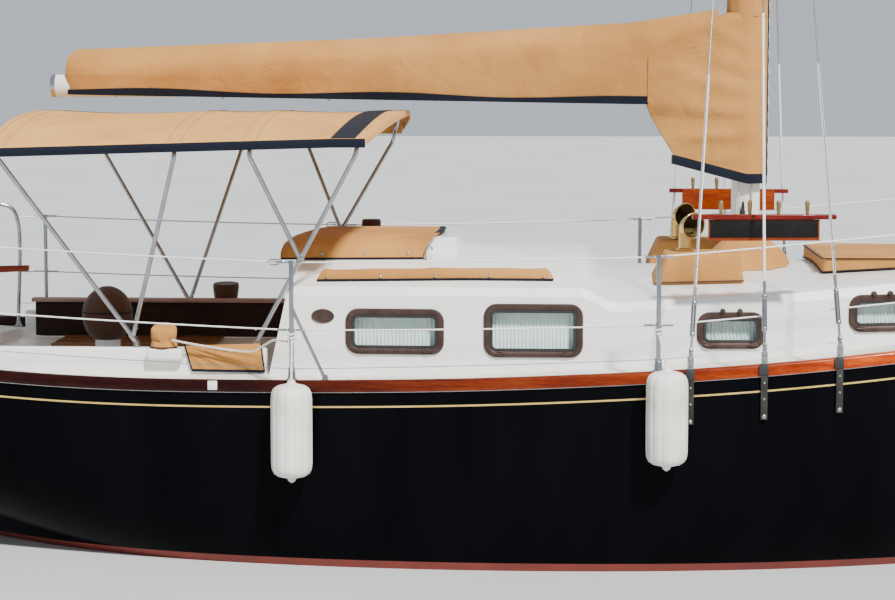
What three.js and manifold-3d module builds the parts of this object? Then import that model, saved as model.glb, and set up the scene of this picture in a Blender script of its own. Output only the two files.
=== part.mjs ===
// Traditional cutter-rigged sailing yacht, about 8.6 m long on deck, shown afloat.
// Units are millimetres. +X points to the bow, +Y to port and +Z up.
// The origin is amidships on the centreline, at the waterline.

import * as THREE from "three";
import { mergeVertices } from "three/addons/utils/BufferGeometryUtils.js";
import Module from "manifold-3d";

const wasm = await Module();
wasm.setup();

// Driving dimensions
const GAP = 0.3;
const SHEER_LOW_X = -1100;
const SHEER_LOW_Z = 1038;
const SHEER_RISE_FORWARD = 1.9e-5;
const SHEER_RISE_AFT = 1.35e-5;
const RAIL_HEIGHT = 62;
const RAIL_INSET = 35;
const RAIL_OVERHANG = 12;
const RAIL_FORE_END = 4040;
const RAIL_AFT_END = -4262;
const COVERING_BOARD = 60;
const CAMBER_SHARE = 0.045;
const STERN_TOP_X = -4300;
const STERN_TOP_Z = 1180;
const STERN_RAKE = 0.24;
const KEEL_FOOT_Z = -1450;
const MAST_X = 950;
const MAST_TOP_Z = 12650;
const SPREADER_Z = 7050;
const STAY_HEAD_Z = 12590;
const STAYSAIL_HEAD_Z = 9300;
const CABIN_AFT_X = -1670;
const CABIN_AFT_LEAN = 0.22;
const CABIN_SOLE_Z = -300;
const WELL_SOLE_Z = 430;
const SEAT_Z = 960;
const GOOSENECK_Z = 2550;
const STAY_RADIUS = 6;
const TUBE_RADIUS = 13;
const HATCH_Z = 1646;

const COLORS = {
  hull: new THREE.MeshStandardMaterial({ color: 0x0d0e12, roughness: 0.15 }),
  white: new THREE.MeshStandardMaterial({ color: 0xe9e8e2, roughness: 0.35 }),
  teak: new THREE.MeshStandardMaterial({ color: 0x8f3d14, roughness: 0.25 }),
  canvas: new THREE.MeshStandardMaterial({ color: 0xc79a62, roughness: 0.9 }),
  steel: new THREE.MeshStandardMaterial({ color: 0xb9bcbe, roughness: 0.2, metalness: 1 }),
  bronze: new THREE.MeshStandardMaterial({ color: 0x8a5a3a, roughness: 0.4, metalness: 1 }),
  brass: new THREE.MeshStandardMaterial({ color: 0xb58a3c, roughness: 0.3, metalness: 1 }),
  iron: new THREE.MeshStandardMaterial({ color: 0x33363a, roughness: 0.6, metalness: 0.6 }),
  vinyl: new THREE.MeshStandardMaterial({ color: 0xe8e4d6, roughness: 0.5 }),
};

// Solids, joins and cuts
function solid(geometry) {
  const plain = geometry.clone();
  plain.deleteAttribute("normal");
  plain.deleteAttribute("uv");
  const merged = mergeVertices(plain, 1e-3);
  return new wasm.Manifold(
    new wasm.Mesh({
      numProp: 3,
      vertProperties: merged.attributes.position.array,
      triVerts: new Uint32Array(merged.index.array),
    }),
  );
}

function join(...geometries) {
  return geometries.map(solid).reduce((whole, piece) => whole.add(piece));
}

function cut(shape, ...cutters) {
  return cutters.reduce((left, cutter) => left.subtract(cutter), shape);
}

function geometryOf(shape) {
  const mesh = shape.getMesh();
  const geometry = new THREE.BufferGeometry();
  geometry.setAttribute("position", new THREE.BufferAttribute(mesh.vertProperties, 3));
  geometry.setIndex(new THREE.BufferAttribute(mesh.triVerts, 1));
  geometry.computeVertexNormals();
  return geometry;
}

const yacht = new THREE.Group();

function addPart(name, shape, material) {
  const mesh = new THREE.Mesh(geometryOf(shape), material);
  mesh.name = name;
  yacht.add(mesh);
}

// The same geometry on the other side of the centreline, with its faces turned back out
function mirrored(geometry) {
  const other = geometry.index ? geometry.toNonIndexed() : geometry.clone();
  other.deleteAttribute("normal");
  other.deleteAttribute("uv");
  const points = other.attributes.position;
  for (let corner = 0; corner < points.count; corner += 3) {
    const second = new THREE.Vector3().fromBufferAttribute(points, corner + 1);
    const third = new THREE.Vector3().fromBufferAttribute(points, corner + 2);
    points.setXYZ(corner + 1, third.x, third.y, third.z);
    points.setXYZ(corner + 2, second.x, second.y, second.z);
  }
  return other.scale(1, -1, 1);
}

// Closed skin through rings of points that run anticlockwise seen from the bow
function loft(rings) {
  const count = rings[0].length;
  const positions = rings.flat().flatMap((point) => [point.x, point.y, point.z]);
  const faces = [];
  for (let ring = 0; ring < rings.length - 1; ring += 1) {
    for (let step = 0; step < count; step += 1) {
      const a = ring * count + step;
      const b = ring * count + ((step + 1) % count);
      faces.push(a, b, b + count, a, b + count, a + count);
    }
  }
  const last = (rings.length - 1) * count;
  const flat = (ring) => ring.map((point) => new THREE.Vector2(point.y, point.z));
  for (const [a, b, c] of THREE.ShapeUtils.triangulateShape(flat(rings[0]), [])) {
    faces.push(c, b, a);
  }
  for (const [a, b, c] of THREE.ShapeUtils.triangulateShape(flat(rings.at(-1)), [])) {
    faces.push(last + a, last + b, last + c);
  }
  const geometry = new THREE.BufferGeometry();
  geometry.setAttribute("position", new THREE.Float32BufferAttribute(positions, 3));
  geometry.setIndex(faces);
  return geometry.toNonIndexed();
}

// A ring from the port half of a section, listed from the centreline on top down to the bottom
function sectionRing(x, half) {
  const port = half.map(([y, z, shift = 0]) => new THREE.Vector3(x + shift, y, z));
  const starboard = port.map((point) => new THREE.Vector3(point.x, -point.y, point.z));
  return [...starboard, ...port.slice(1).reverse()];
}

function box(low, high) {
  const size = low.map((value, axis) => high[axis] - value);
  const middle = low.map((value, axis) => (high[axis] + value) / 2);
  return new THREE.BoxGeometry(...size).translate(...middle);
}

function rod(from, to, radius, sides = 8, tipRadius = radius) {
  const start = new THREE.Vector3(...from);
  const end = new THREE.Vector3(...to);
  const along = end.clone().sub(start);
  const turn = new THREE.Quaternion().setFromUnitVectors(
    new THREE.Vector3(0, 1, 0),
    along.clone().normalize(),
  );
  const middle = start.add(end).multiplyScalar(0.5);
  return new THREE.CylinderGeometry(tipRadius, radius, along.length(), sides)
    .applyQuaternion(turn)
    .translate(middle.x, middle.y, middle.z);
}

function ball(centre, radius, sides = 8) {
  return new THREE.SphereGeometry(radius, sides, 6).translate(...centre);
}

// A round tube bent smoothly through its points
function bentTube(points, radius, steps) {
  const path = new THREE.CatmullRomCurve3(points.map((point) => new THREE.Vector3(...point)), false, "centripetal");
  const section = new THREE.Shape(
    ellipseOutline(radius, radius, 6).map(([x, y]) => new THREE.Vector2(x, y)),
  );
  return new THREE.ExtrudeGeometry(section, { steps, bevelEnabled: false, extrudePath: path });
}

function ellipseOutline(alongHalf, acrossHalf, sides) {
  return Array.from({ length: sides }, (_, index) => {
    const angle = (index / sides) * Math.PI * 2;
    return [alongHalf * Math.cos(angle), acrossHalf * Math.sin(angle)];
  });
}

// A plate whose outline is given as x and z points, with its thickness across the boat
function sidePlate(outline, lowY, highY) {
  const shape = new THREE.Shape(outline.map(([x, z]) => new THREE.Vector2(x, z)));
  return new THREE.ExtrudeGeometry(shape, { depth: highY - lowY, bevelEnabled: false })
    .rotateX(Math.PI / 2)
    .translate(0, highY, 0);
}

// A plate whose outline is given as x and y points, with its thickness upright
function floorPlate(outline, lowZ, highZ) {
  const shape = new THREE.Shape(outline.map(([x, y]) => new THREE.Vector2(x, y)));
  return new THREE.ExtrudeGeometry(shape, { depth: highZ - lowZ, bevelEnabled: false }).translate(0, 0, lowZ);
}

// A plate whose outline is given as y and z points, with its thickness along the boat
function crossPlate(outline, aft, fore) {
  const shape = new THREE.Shape(outline.map(([y, z]) => new THREE.Vector2(y, z)));
  return new THREE.ExtrudeGeometry(shape, { depth: fore - aft, bevelEnabled: false })
    .rotateX(Math.PI / 2)
    .rotateZ(Math.PI / 2)
    .translate(aft, 0, 0);
}

// Values that vary along a table, straight between its rows
function alongTable(table, column, x) {
  const next = table.findIndex((row, index) => index > 0 && x <= row.x);
  const end = next < 0 ? table.length - 1 : next;
  const [low, high] = [table[end - 1], table[end]];
  return low[column] + ((high[column] - low[column]) * (x - low.x)) / (high.x - low.x);
}

function namedRows(columns, rows) {
  return rows.map((row) => Object.fromEntries(columns.map((column, index) => [column, row[index]])));
}

// Hull lines: one row a section, from the stern to the stem
const HULL = namedRows(
  ["x", "beam", "fullness", "hollow", "rabbet", "keel", "thick"],
  [
    [-4400, 935, 3.0, 1.5, 60, KEEL_FOOT_Z, 38],
    [-4000, 1055, 3.1, 1.5, -60, KEEL_FOOT_Z, 40],
    [-3400, 1200, 3.3, 1.45, -270, KEEL_FOOT_Z, 45],
    [-2700, 1340, 3.6, 1.4, -520, KEEL_FOOT_Z, 60],
    [-1900, 1450, 4.0, 1.35, -720, KEEL_FOOT_Z, 80],
    [-900, 1525, 4.4, 1.3, -810, -1380, 95],
    [0, 1540, 4.5, 1.3, -820, -1300, 100],
    [900, 1510, 4.1, 1.3, -790, -1190, 95],
    [1700, 1415, 3.5, 1.25, -730, -1080, 85],
    [2400, 1255, 2.9, 1.2, -650, -960, 70],
    [3000, 1020, 2.4, 1.15, -560, -830, 58],
    [3500, 750, 2.0, 1.1, -440, -680, 48],
    [3900, 470, 1.7, 1.08, -260, -480, 40],
    [4150, 245, 1.5, 1.05, 10, -150, 35],
    [4270, 110, 1.4, 1.0, 420, 300, 32],
    [4310, 45, 1.3, 1.0, 900, 850, 30],
  ],
);
const TOPSIDE_STEPS = [0.14, 0.28, 0.42, 0.56, 0.68, 0.79, 0.88, 0.95, 1];

// A smooth value between the rows of a table, with the slope at each row shared by its two sides
function faired(table, column, x) {
  const next = Math.max(1, table.findIndex((row, index) => index > 0 && x <= row.x));
  const slopeAt = (index) => {
    const step = (a, b) => (table[b][column] - table[a][column]) / (table[b].x - table[a].x);
    const [before, after] = [Math.max(index - 1, 0), Math.min(index + 1, table.length - 1)];
    const slopes = [before < index ? step(before, index) : null, after > index ? step(index, after) : null];
    const known = slopes.filter((slope) => slope !== null);
    return known.reduce((total, slope) => total + slope, 0) / known.length;
  };
  const [low, high] = [table[next - 1], table[next]];
  const length = high.x - low.x;
  const share = (x - low.x) / length;
  const [squared, cubed] = [share ** 2, share ** 3];
  return (
    low[column] * (2 * cubed - 3 * squared + 1) +
    slopeAt(next - 1) * length * (cubed - 2 * squared + share) +
    high[column] * (3 * squared - 2 * cubed) +
    slopeAt(next) * length * (cubed - squared)
  );
}

// Every station of the hull's skin: the table's rows and the faired stations between them
const BETWEEN_ROWS = [0, 1 / 3, 2 / 3];
const STATIONS = HULL.flatMap((row, index) => {
  const length = index < HULL.length - 1 ? HULL[index + 1].x - row.x : 0;
  const shares = length > 350 ? BETWEEN_ROWS : length > 200 ? [0, 0.5] : [0];
  return shares.map((share) => {
    const x = row.x + length * share;
    const smooth = ["beam", "fullness", "hollow", "rabbet", "thick"].map((column) => [column, faired(HULL, column, x)]);
    return { x, ...Object.fromEntries(smooth), keel: alongTable(HULL, "keel", x) };
  });
});

function railTop(x) {
  const rise = x > SHEER_LOW_X ? SHEER_RISE_FORWARD : SHEER_RISE_AFT;
  return SHEER_LOW_Z + rise * (x - SHEER_LOW_X) ** 2;
}

// The sheer is straight between the hull's stations, as the skin is
const SHEER = STATIONS.map((row) => ({ x: row.x, z: railTop(row.x) - RAIL_HEIGHT }));

function deckEdge(x) {
  return alongTable(SHEER, "z", x);
}

function halfBeam(x) {
  return alongTable(STATIONS, "beam", x);
}

function hullRing(row) {
  const edge = railTop(row.x) - RAIL_HEIGHT;
  const margin = row.beam - Math.min(COVERING_BOARD, row.beam * 0.3);
  const crown = row.beam * CAMBER_SHARE;
  const deck = [0, 0.35, 0.7, 1].map((share) => [margin * share, edge + crown * (1 - share ** 2)]);
  const topside = TOPSIDE_STEPS.map((step) => [
    row.thick + (row.beam - row.thick) * (1 - step ** row.fullness) ** row.hollow,
    edge - (edge - row.rabbet) * step,
  ]);
  return sectionRing(row.x, [...deck, [row.beam, edge], ...topside, [row.thick, row.keel]]);
}

const hullSkin = loft(STATIONS.map(hullRing));
const deckCutter = solid(hullSkin.clone().translate(0, 0, GAP));

function sternX(z) {
  return STERN_TOP_X - STERN_RAKE * (z - STERN_TOP_Z);
}

// Rudder axis: parallel to the raked sternpost, a little behind it
const PINTLE_OFFSET = 20;
const PINTLE_HEIGHTS = [820, -300, -1250];
const PINTLE_RADIUS = 10;
const GUDGEON_RADIUS = 22;
const GUDGEON_HALF = 30;
const SHAFT_Z = -800;
const SHAFT_RADIUS = 16;
const APERTURE = { low: -1030, high: -570, depth: 260 };
const RAKE_ALONG = new THREE.Vector3(-STERN_RAKE, 0, 1).normalize();

function pintlePoint(z, along = 0) {
  return [
    sternX(z) - PINTLE_OFFSET + RAKE_ALONG.x * along,
    0,
    z + RAKE_ALONG.z * along,
  ];
}

function pintleRod(z, half, radius, sides = 16) {
  return rod(pintlePoint(z, -half), pintlePoint(z, half), radius, sides);
}

// Spaces cut out of the hull
const SEAT_RECESS = box([-3500, -880, SEAT_Z], [-1705, 880, 2000]);
const FOOTWELL = box([-3350, -320, WELL_SOLE_Z], [-2050, 320, 2000]);
const CABIN_WELL = floorPlate(
  [[-1500, -800], [600, -800], [2100, -330], [2100, 330], [600, 800], [-1500, 800]],
  CABIN_SOLE_Z,
  2500,
);
const ENGINE_BAY = box([-2650, -300, -250], [-1450, 300, 350]);
const LOCKER = { aft: -3150, fore: -2250, inner: 420, outer: 800, floor: 640 };

function makeHull() {
  const behindStern = sidePlate(
    [[sternX(1900), 1900], [sternX(-1700), -1700], [-5200, -1700], [-5200, 1900]],
    -1500,
    1500,
  );
  const aperture = sidePlate(
    [
      [sternX(APERTURE.high) + APERTURE.depth, APERTURE.high],
      [sternX(APERTURE.low) + APERTURE.depth, APERTURE.low],
      [-4700, APERTURE.low],
      [-4700, APERTURE.high],
    ],
    -200,
    200,
  );
  const shaftBore = rod([-3900, 0, SHAFT_Z], [-3300, 0, SHAFT_Z], SHAFT_RADIUS + 0.8, 16);
  const ballastPocket = solid(BALLAST_BOX);
  const lockers = [-1, 1].map((side) => solid(lockerBox(side, SEAT_Z - 700, 2000, 0)));
  const body = cut(
    solid(hullSkin),
    solid(SEAT_RECESS),
    solid(FOOTWELL),
    solid(CABIN_WELL),
    solid(ENGINE_BAY),
    solid(behindStern),
    solid(aperture),
    solid(shaftBore),
    ballastPocket,
    ...lockers.map((locker) => locker.intersect(solid(box([-4000, -900, LOCKER.floor], [0, 900, 2000])))),
  );
  const gudgeons = PINTLE_HEIGHTS.map((z) => pintleRod(z, GUDGEON_HALF, GUDGEON_RADIUS));
  const bores = PINTLE_HEIGHTS.map((z) => solid(pintleRod(z, GUDGEON_HALF + 5, PINTLE_RADIUS + 0.6)));
  return cut(gudgeons.reduce((whole, piece) => whole.add(solid(piece)), body), ...bores);
}

// The hull in three lengths that meet at its bulkheads
const HULL_SECTIONS = [
  { name: "hull_aft", aft: -5000, fore: -1620 },
  { name: "hull_middle", aft: -1620, fore: 2200 },
  { name: "hull_bow", aft: 2200, fore: 5000 },
];

function hullSection(hull, { aft, fore }) {
  return hull.intersect(solid(box([aft + GAP / 2, -2000, -2000], [fore - GAP / 2, 2000, 3000])));
}

function lockerBox(side, low, high, grow) {
  const [inner, outer] = [LOCKER.inner - grow, LOCKER.outer + grow];
  const [lowY, highY] = side > 0 ? [inner, outer] : [-outer, -inner];
  return box([LOCKER.aft - grow, lowY, low], [LOCKER.fore + grow, highY, high]);
}

// Ballast casting: the lower part of the keel amidships
const BALLAST_BOX = box([-2600, -300, -1700], [1500, 300, -1000]);
const BALLAST_INNER = box([-2600 + GAP, -300, -1700], [1500 - GAP, 300, -1000 - GAP]);

function makeBallast() {
  return solid(hullSkin).intersect(solid(BALLAST_INNER));
}

// Toe rail with its stanchions and half of the rail across the transom
const STANCHIONS = [-3400, -1510, 395, 2300];
const STANCHION_HEIGHT = 600;

function makeRail(side) {
  const ends = [RAIL_AFT_END, ...STATIONS.map((row) => row.x), RAIL_FORE_END];
  const stations = ends.filter((x) => x >= RAIL_AFT_END && x <= RAIL_FORE_END).sort((a, b) => a - b);
  const rings = stations.map((x) => {
    const [inner, outer] = [halfBeam(x) - RAIL_INSET, halfBeam(x) + RAIL_OVERHANG];
    const [low, high] = [deckEdge(x) + GAP, deckEdge(x) + RAIL_HEIGHT];
    return [[inner, low], [outer, low], [outer, high], [inner, high]].map(
      ([y, z]) => new THREE.Vector3(x, y, z),
    );
  });
  const sternTop = deckEdge(RAIL_AFT_END) + RAIL_HEIGHT;
  const transomRail = cut(
    solid(box([RAIL_AFT_END, GAP / 2, 1000], [RAIL_AFT_END + 48, halfBeam(RAIL_AFT_END) - 5, sternTop])),
    deckCutter,
  );
  const posts = STANCHIONS.map((x) => {
    const y = halfBeam(x) - RAIL_OVERHANG;
    const foot = deckEdge(x) + RAIL_HEIGHT;
    return join(
      rod([x, y, foot - 20], [x, y, foot + STANCHION_HEIGHT], TUBE_RADIUS, 6),
      rod([x, y, foot - 20], [x, y, foot + 30], TUBE_RADIUS + 9, 8),
    );
  });
  const port = posts.reduce((whole, post) => whole.add(post), solid(loft(rings)).add(transomRail));
  return side > 0 ? port : solid(mirrored(geometryOf(port)));
}

// Cabin trunk: raised doghouse aft, lower trunk forward, with a cambered roof and rounded shoulders
const TRUNK = namedRows(
  ["x", "half", "eave", "crown", "lean"],
  [
    [CABIN_AFT_X, 1040, 1450, 1628, CABIN_AFT_LEAN],
    [-1530, 1050, 1450, 1629, 0],
    [-620, 1085, 1452, 1634, 0],
    [30, 1085, 1450, 1630, 0],
    [140, 1080, 1375, 1490, 0],
    [1050, 1035, 1425, 1502, 0],
    [1350, 990, 1450, 1516, 0],
    [1850, 885, 1492, 1547, 0],
    [2250, 745, 1515, 1574, 0],
    [2420, 655, 1512, 1570, -0.08],
    [2520, 540, 1505, 1566, -0.22],
    [2565, 400, 1495, 1555, -0.3],
  ],
);
const ROOF_SHARES = [0, 0.25, 0.5, 0.75, 1];
const SHOULDER_RADIUS = 50;
const SHOULDER_ANGLES = [60, 38, 18, 0];
const TRUNK_WALL = 32;
const LEAN_BASE_Z = 1050;

function trunkRing(row, inset, floor) {
  const lean = (z) => row.lean * (z - LEAN_BASE_Z);
  const half = row.half - inset;
  const height = (y) => row.crown - inset - (row.crown - row.eave) * (y / row.half) ** 2;
  const turn = half - SHOULDER_RADIUS;
  const roof = ROOF_SHARES.map((share) => [turn * share, height(turn * share)]);
  const shoulder = SHOULDER_ANGLES.map((degrees) => {
    const angle = THREE.MathUtils.degToRad(degrees);
    return [
      turn + SHOULDER_RADIUS * Math.cos(angle),
      height(turn) + SHOULDER_RADIUS * (Math.sin(angle) - 1),
    ];
  });
  const section = [...roof, ...shoulder, [half, floor]];
  return sectionRing(row.x, section.map(([y, z]) => [y, z, lean(z)]));
}

const trunkSkin = loft(TRUNK.map((row) => trunkRing(row, 0, 700)));
const roofCutter = solid(trunkSkin.clone().translate(0, 0, GAP));

// Windows: centre along the boat, height above the waterline, size of the frame
const WINDOWS = namedRows(
  ["x", "z", "width", "height"],
  [
    [-1000, 1226, 520, 235],
    [-255, 1236, 520, 277],
    [800, 1239, 352, 186],
    [1610, 1325, 350, 190],
  ],
);
const WINDOW_RIM = 30;
const WINDOW_CORNER = 62;
const FRAME_PROUD = 14;
const SPIGOT_DEPTH = 24;
const PANE = 6;

function roundedOutline(width, height, corner) {
  const shape = new THREE.Shape();
  const [x, y] = [width / 2 - corner, height / 2 - corner];
  shape.absarc(x, y, corner, 0, Math.PI / 2);
  shape.absarc(-x, y, corner, Math.PI / 2, Math.PI);
  shape.absarc(-x, -y, corner, Math.PI, Math.PI * 1.5);
  shape.absarc(x, -y, corner, Math.PI * 1.5, Math.PI * 2);
  return shape;
}

// A slab in a window's own plane, from one depth to another outside the cabin side
function windowSlab(window, side, inset, fromDepth, toDepth) {
  const outline = roundedOutline(
    window.width - 2 * inset,
    window.height - 2 * inset,
    WINDOW_CORNER - Math.max(0, inset),
  );
  const slab = new THREE.ExtrudeGeometry(outline, {
    depth: toDepth - fromDepth,
    bevelEnabled: false,
    curveSegments: 2,
  }).translate(0, 0, fromDepth);
  const reach = alongTable(TRUNK, "half", window.x);
  const slope = Math.atan(alongTable(TRUNK, "half", window.x + 1) - reach);
  slab.rotateX(Math.PI / 2).rotateZ(-slope);
  slab.translate(window.x, -reach, window.z);
  return side > 0 ? mirrored(slab) : slab;
}

function makeWindow(window, side) {
  const flange = windowSlab(window, side, 0, GAP, FRAME_PROUD);
  const spigot = windowSlab(window, side, WINDOW_RIM - 10, -SPIGOT_DEPTH, FRAME_PROUD - 1);
  const front = windowSlab(window, side, WINDOW_RIM, GAP + PANE, FRAME_PROUD + 5);
  const back = windowSlab(window, side, WINDOW_RIM, -SPIGOT_DEPTH - 5, GAP);
  return cut(join(flange, spigot), solid(front), solid(back));
}

// Companionway: the opening in the roof and the aft wall
const DOORWAY = { half: 300, sill: 1120, fore: -1180 };
const FORE_HATCH = { aft: 1365, fore: 1925, half: 480, hole: 400 };

function makeTrunk() {
  const inner = loft(
    TRUNK.map((row, index) => {
      const inward = index === 0 ? TRUNK_WALL : index === TRUNK.length - 1 ? -TRUNK_WALL : 0;
      return trunkRing({ ...row, x: row.x + inward }, TRUNK_WALL, 600);
    }),
  );
  const doorway = box([-1900, -DOORWAY.half, DOORWAY.sill], [DOORWAY.fore, DOORWAY.half, 1900]);
  const skylight = box(
    [FORE_HATCH.aft + 60, -FORE_HATCH.hole, 1300],
    [FORE_HATCH.fore - 60, FORE_HATCH.hole, 1900],
  );
  const holes = WINDOWS.flatMap((window) =>
    [-1, 1].map((side) => solid(windowSlab(window, side, WINDOW_RIM - 10 - GAP, -80, 40))),
  );
  return cut(solid(trunkSkin), solid(inner), deckCutter, solid(doorway), solid(skylight), ...holes);
}

// Sea hood with the runners of the sliding hatch
const RUNNER = { ledge: 320, wall: 352, outer: 380 };

function makeSeaHood() {
  const sides = [-1, 1].flatMap((side) => {
    const span = (a, b) => (side > 0 ? [a, b] : [-b, -a]);
    const [ledgeLow, ledgeHigh] = span(RUNNER.ledge, RUNNER.outer);
    const [wallLow, wallHigh] = span(RUNNER.wall, RUNNER.outer);
    return [
      box([-1560, ledgeLow, 1500], [-700, ledgeHigh, HATCH_Z - GAP]),
      box([-1560, wallLow, 1500], [-700, wallHigh, HATCH_Z + 34]),
    ];
  });
  const front = box([-720, -RUNNER.outer, 1500], [-700, RUNNER.outer, HATCH_Z + 34]);
  const top = box([-1160, -RUNNER.outer, HATCH_Z + 26], [-700, RUNNER.outer, HATCH_Z + 40]);
  return cut(join(...sides, front, top), roofCutter);
}

function makeSlidingHatch() {
  const panel = box([-1640, -RUNNER.wall + 6, HATCH_Z], [-1150, RUNNER.wall - 6, HATCH_Z + 18]);
  const lip = box([-1640, -RUNNER.ledge + 30, HATCH_Z - 22], [-1622, RUNNER.ledge - 30, HATCH_Z + 1]);
  return join(panel, lip);
}

function makeDropBoards() {
  const face = (z) => CABIN_AFT_X + 6 + CABIN_AFT_LEAN * (z - LEAN_BASE_Z);
  const [low, high] = [DOORWAY.sill + GAP, 1608];
  const width = DOORWAY.half - 2;
  return solid(
    sidePlate([[face(low), low], [face(low) + 22, low], [face(high) + 22, high], [face(high), high]], -width, width),
  );
}

// Canvas over the hatch and its hood: a tunnel with one closed end and a short flap aft
const HATCH_COVER = { aft: -1690, fore: -672, half: 600, top: 1702, cloth: 8, shoulder: 110 };

function tunnelOutline(half, top, shoulder) {
  const shape = new THREE.Shape();
  shape.moveTo(-half, 1500);
  shape.lineTo(half, 1500);
  shape.absarc(half - shoulder, top - shoulder, shoulder, 0, Math.PI / 2);
  shape.absarc(-half + shoulder, top - shoulder, shoulder, Math.PI / 2, Math.PI);
  return shape;
}

function tunnel(half, top, shoulder, aft, fore) {
  return new THREE.ExtrudeGeometry(tunnelOutline(half, top, shoulder), {
    depth: fore - aft,
    bevelEnabled: false,
    curveSegments: 3,
  })
    .rotateX(Math.PI / 2)
    .rotateZ(Math.PI / 2)
    .translate(aft, 0, 0);
}

function makeHatchCover() {
  const { aft, fore, half, top, cloth, shoulder } = HATCH_COVER;
  const outer = solid(tunnel(half, top, shoulder, aft, fore));
  const inner = solid(tunnel(half - cloth, top - cloth, shoulder - cloth, aft + cloth, fore - cloth));
  const belowFlap = solid(box([-1800, -650, 1400], [-1662, 650, 1610]));
  return cut(outer, inner, roofCutter, belowFlap);
}

// Canvas covers over the handrails on the roof's shoulders
const HANDRAIL = { aft: -1430, fore: -150, y: 930, half: 24, top: 1558 };

function makeHandrailCover(side) {
  const { aft, fore, y, half, top } = HANDRAIL;
  const [lowY, highY] = side > 0 ? [y - half, y + half] : [-y - half, -y + half];
  return cut(solid(box([aft, lowY, 1400], [fore, highY, top])), roofCutter);
}

// Canvas-covered deck boxes beside the mast, each with a cowl vent on top
const DECK_BOX = { aft: 400, fore: 900, inner: 340, outer: 720, top: 1626 };
const COWL = { x: 580, y: 470, pipe: 34, bell: 66, z: 1766, mouth: [0.25, -0.968] };

function makeDeckBox(side) {
  const { aft, fore, inner, outer, top } = DECK_BOX;
  const slope = 22;
  const outline = [[inner, 1400], [outer, 1400], [outer - slope, top], [inner + slope, top]];
  const block = crossPlate(outline, aft, fore);
  return cut(solid(side > 0 ? block : mirrored(block)), roofCutter);
}

function makeCowl(side) {
  const y = COWL.y * side;
  const foot = DECK_BOX.top + GAP;
  const pipe = rod([COWL.x, y, foot], [COWL.x, y, COWL.z], COWL.pipe, 10);
  const flange = rod([COWL.x, y, foot], [COWL.x, y, foot + 10], COWL.pipe + 16, 10);
  const elbow = ball([COWL.x, y, COWL.z], COWL.pipe * 1.25);
  const along = (reach) => [COWL.x + COWL.mouth[0] * reach, y + COWL.mouth[1] * reach, COWL.z + reach * 0.07];
  const bell = rod(along(0), along(85), COWL.pipe, 14, COWL.bell);
  const rim = rod(along(84), along(96), COWL.bell + 5, 14);
  return join(pipe, flange, elbow, bell, rim);
}

// Covered skylight hatch forward of the mast
const FORE_LID = { aft: 1335, fore: 1985, half: 520, low: 1572, high: 1596, skirt: 32 };

function makeForeCoaming() {
  const outer = box([FORE_HATCH.aft, -FORE_HATCH.half, 1350], [FORE_HATCH.fore, FORE_HATCH.half, FORE_LID.low - GAP]);
  const inner = box(
    [FORE_HATCH.aft + 40, -FORE_HATCH.half + 40, 1300],
    [FORE_HATCH.fore - 40, FORE_HATCH.half - 40, 1800],
  );
  return cut(solid(outer), solid(inner), roofCutter);
}

function makeForeLid() {
  const { aft, fore, half, low, high } = FORE_LID;
  const panel = box([aft, -half, low], [fore, half, high]);
  const skirt = box([aft, -half, low - FORE_LID.skirt], [fore, half, low + 5]);
  const room = box([aft + 20, -half + 20, low - 80], [fore + 50, half - 20, low]);
  return cut(join(panel, skirt), solid(room));
}

// Mast with its crosstrees and gooseneck collar
const MAST = { alongHalf: 82, acrossHalf: 60 };
const COLLAR = { radius: 90, ring: 90.9, outer: 104, sides: 32, half: 50 };
const SPREADER_TIP_Y = 860;

function mastColumn(grow) {
  const outline = ellipseOutline(MAST.alongHalf + grow, MAST.acrossHalf + grow, 16);
  return floorPlate(outline, 1400, MAST_TOP_Z).translate(MAST_X, 0, 0);
}

function makeMast() {
  const column = mastColumn(0);
  const step = rod([MAST_X, 0, 1400], [MAST_X, 0, 1545], 125, 16);
  const collar = rod(
    [MAST_X, 0, GOOSENECK_Z - COLLAR.half - 20],
    [MAST_X, 0, GOOSENECK_Z + COLLAR.half + 20],
    COLLAR.radius,
    COLLAR.sides,
  );
  const crosstrees = [-1, 1].map((side) =>
    rod([MAST_X, 0, SPREADER_Z], [MAST_X - 60, side * SPREADER_TIP_Y, SPREADER_Z + 40], 26, 8, 16),
  );
  return cut(join(column, step, collar, ...crosstrees), roofCutter);
}

// Standing rigging
const CAP_X = 940;
const LOWER_X = [560, 1330];
const CHAINPLATE = { half: 20, thick: 8, above: 70, below: 290 };
const SHROUD_FOOT_RISE = 60;

function chainplate(x, side) {
  const inner = halfBeam(x - CHAINPLATE.half) + RAIL_OVERHANG;
  const reach = Math.max(inner, halfBeam(x + CHAINPLATE.half) + RAIL_OVERHANG) + 0.4;
  const top = deckEdge(x) + RAIL_HEIGHT;
  const [lowY, highY] = side > 0 ? [reach, reach + CHAINPLATE.thick] : [-reach - CHAINPLATE.thick, -reach];
  return box([x - CHAINPLATE.half, lowY, top - CHAINPLATE.below], [x + CHAINPLATE.half, highY, top + CHAINPLATE.above]);
}

function shroudFoot(x, side) {
  return [x, side * (halfBeam(x) + RAIL_OVERHANG + 5.6), deckEdge(x) + RAIL_HEIGHT + SHROUD_FOOT_RISE];
}

function between(from, to, share) {
  return from.map((value, axis) => value + (to[axis] - value) * share);
}

function shroudPieces(foot, head) {
  const length = Math.hypot(...foot.map((value, axis) => head[axis] - value));
  const screw = [between(foot, head, 40 / length), between(foot, head, 330 / length)];
  return [rod(foot, head, STAY_RADIUS, 6), rod(screw[0], screw[1], 14, 8)];
}

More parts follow.
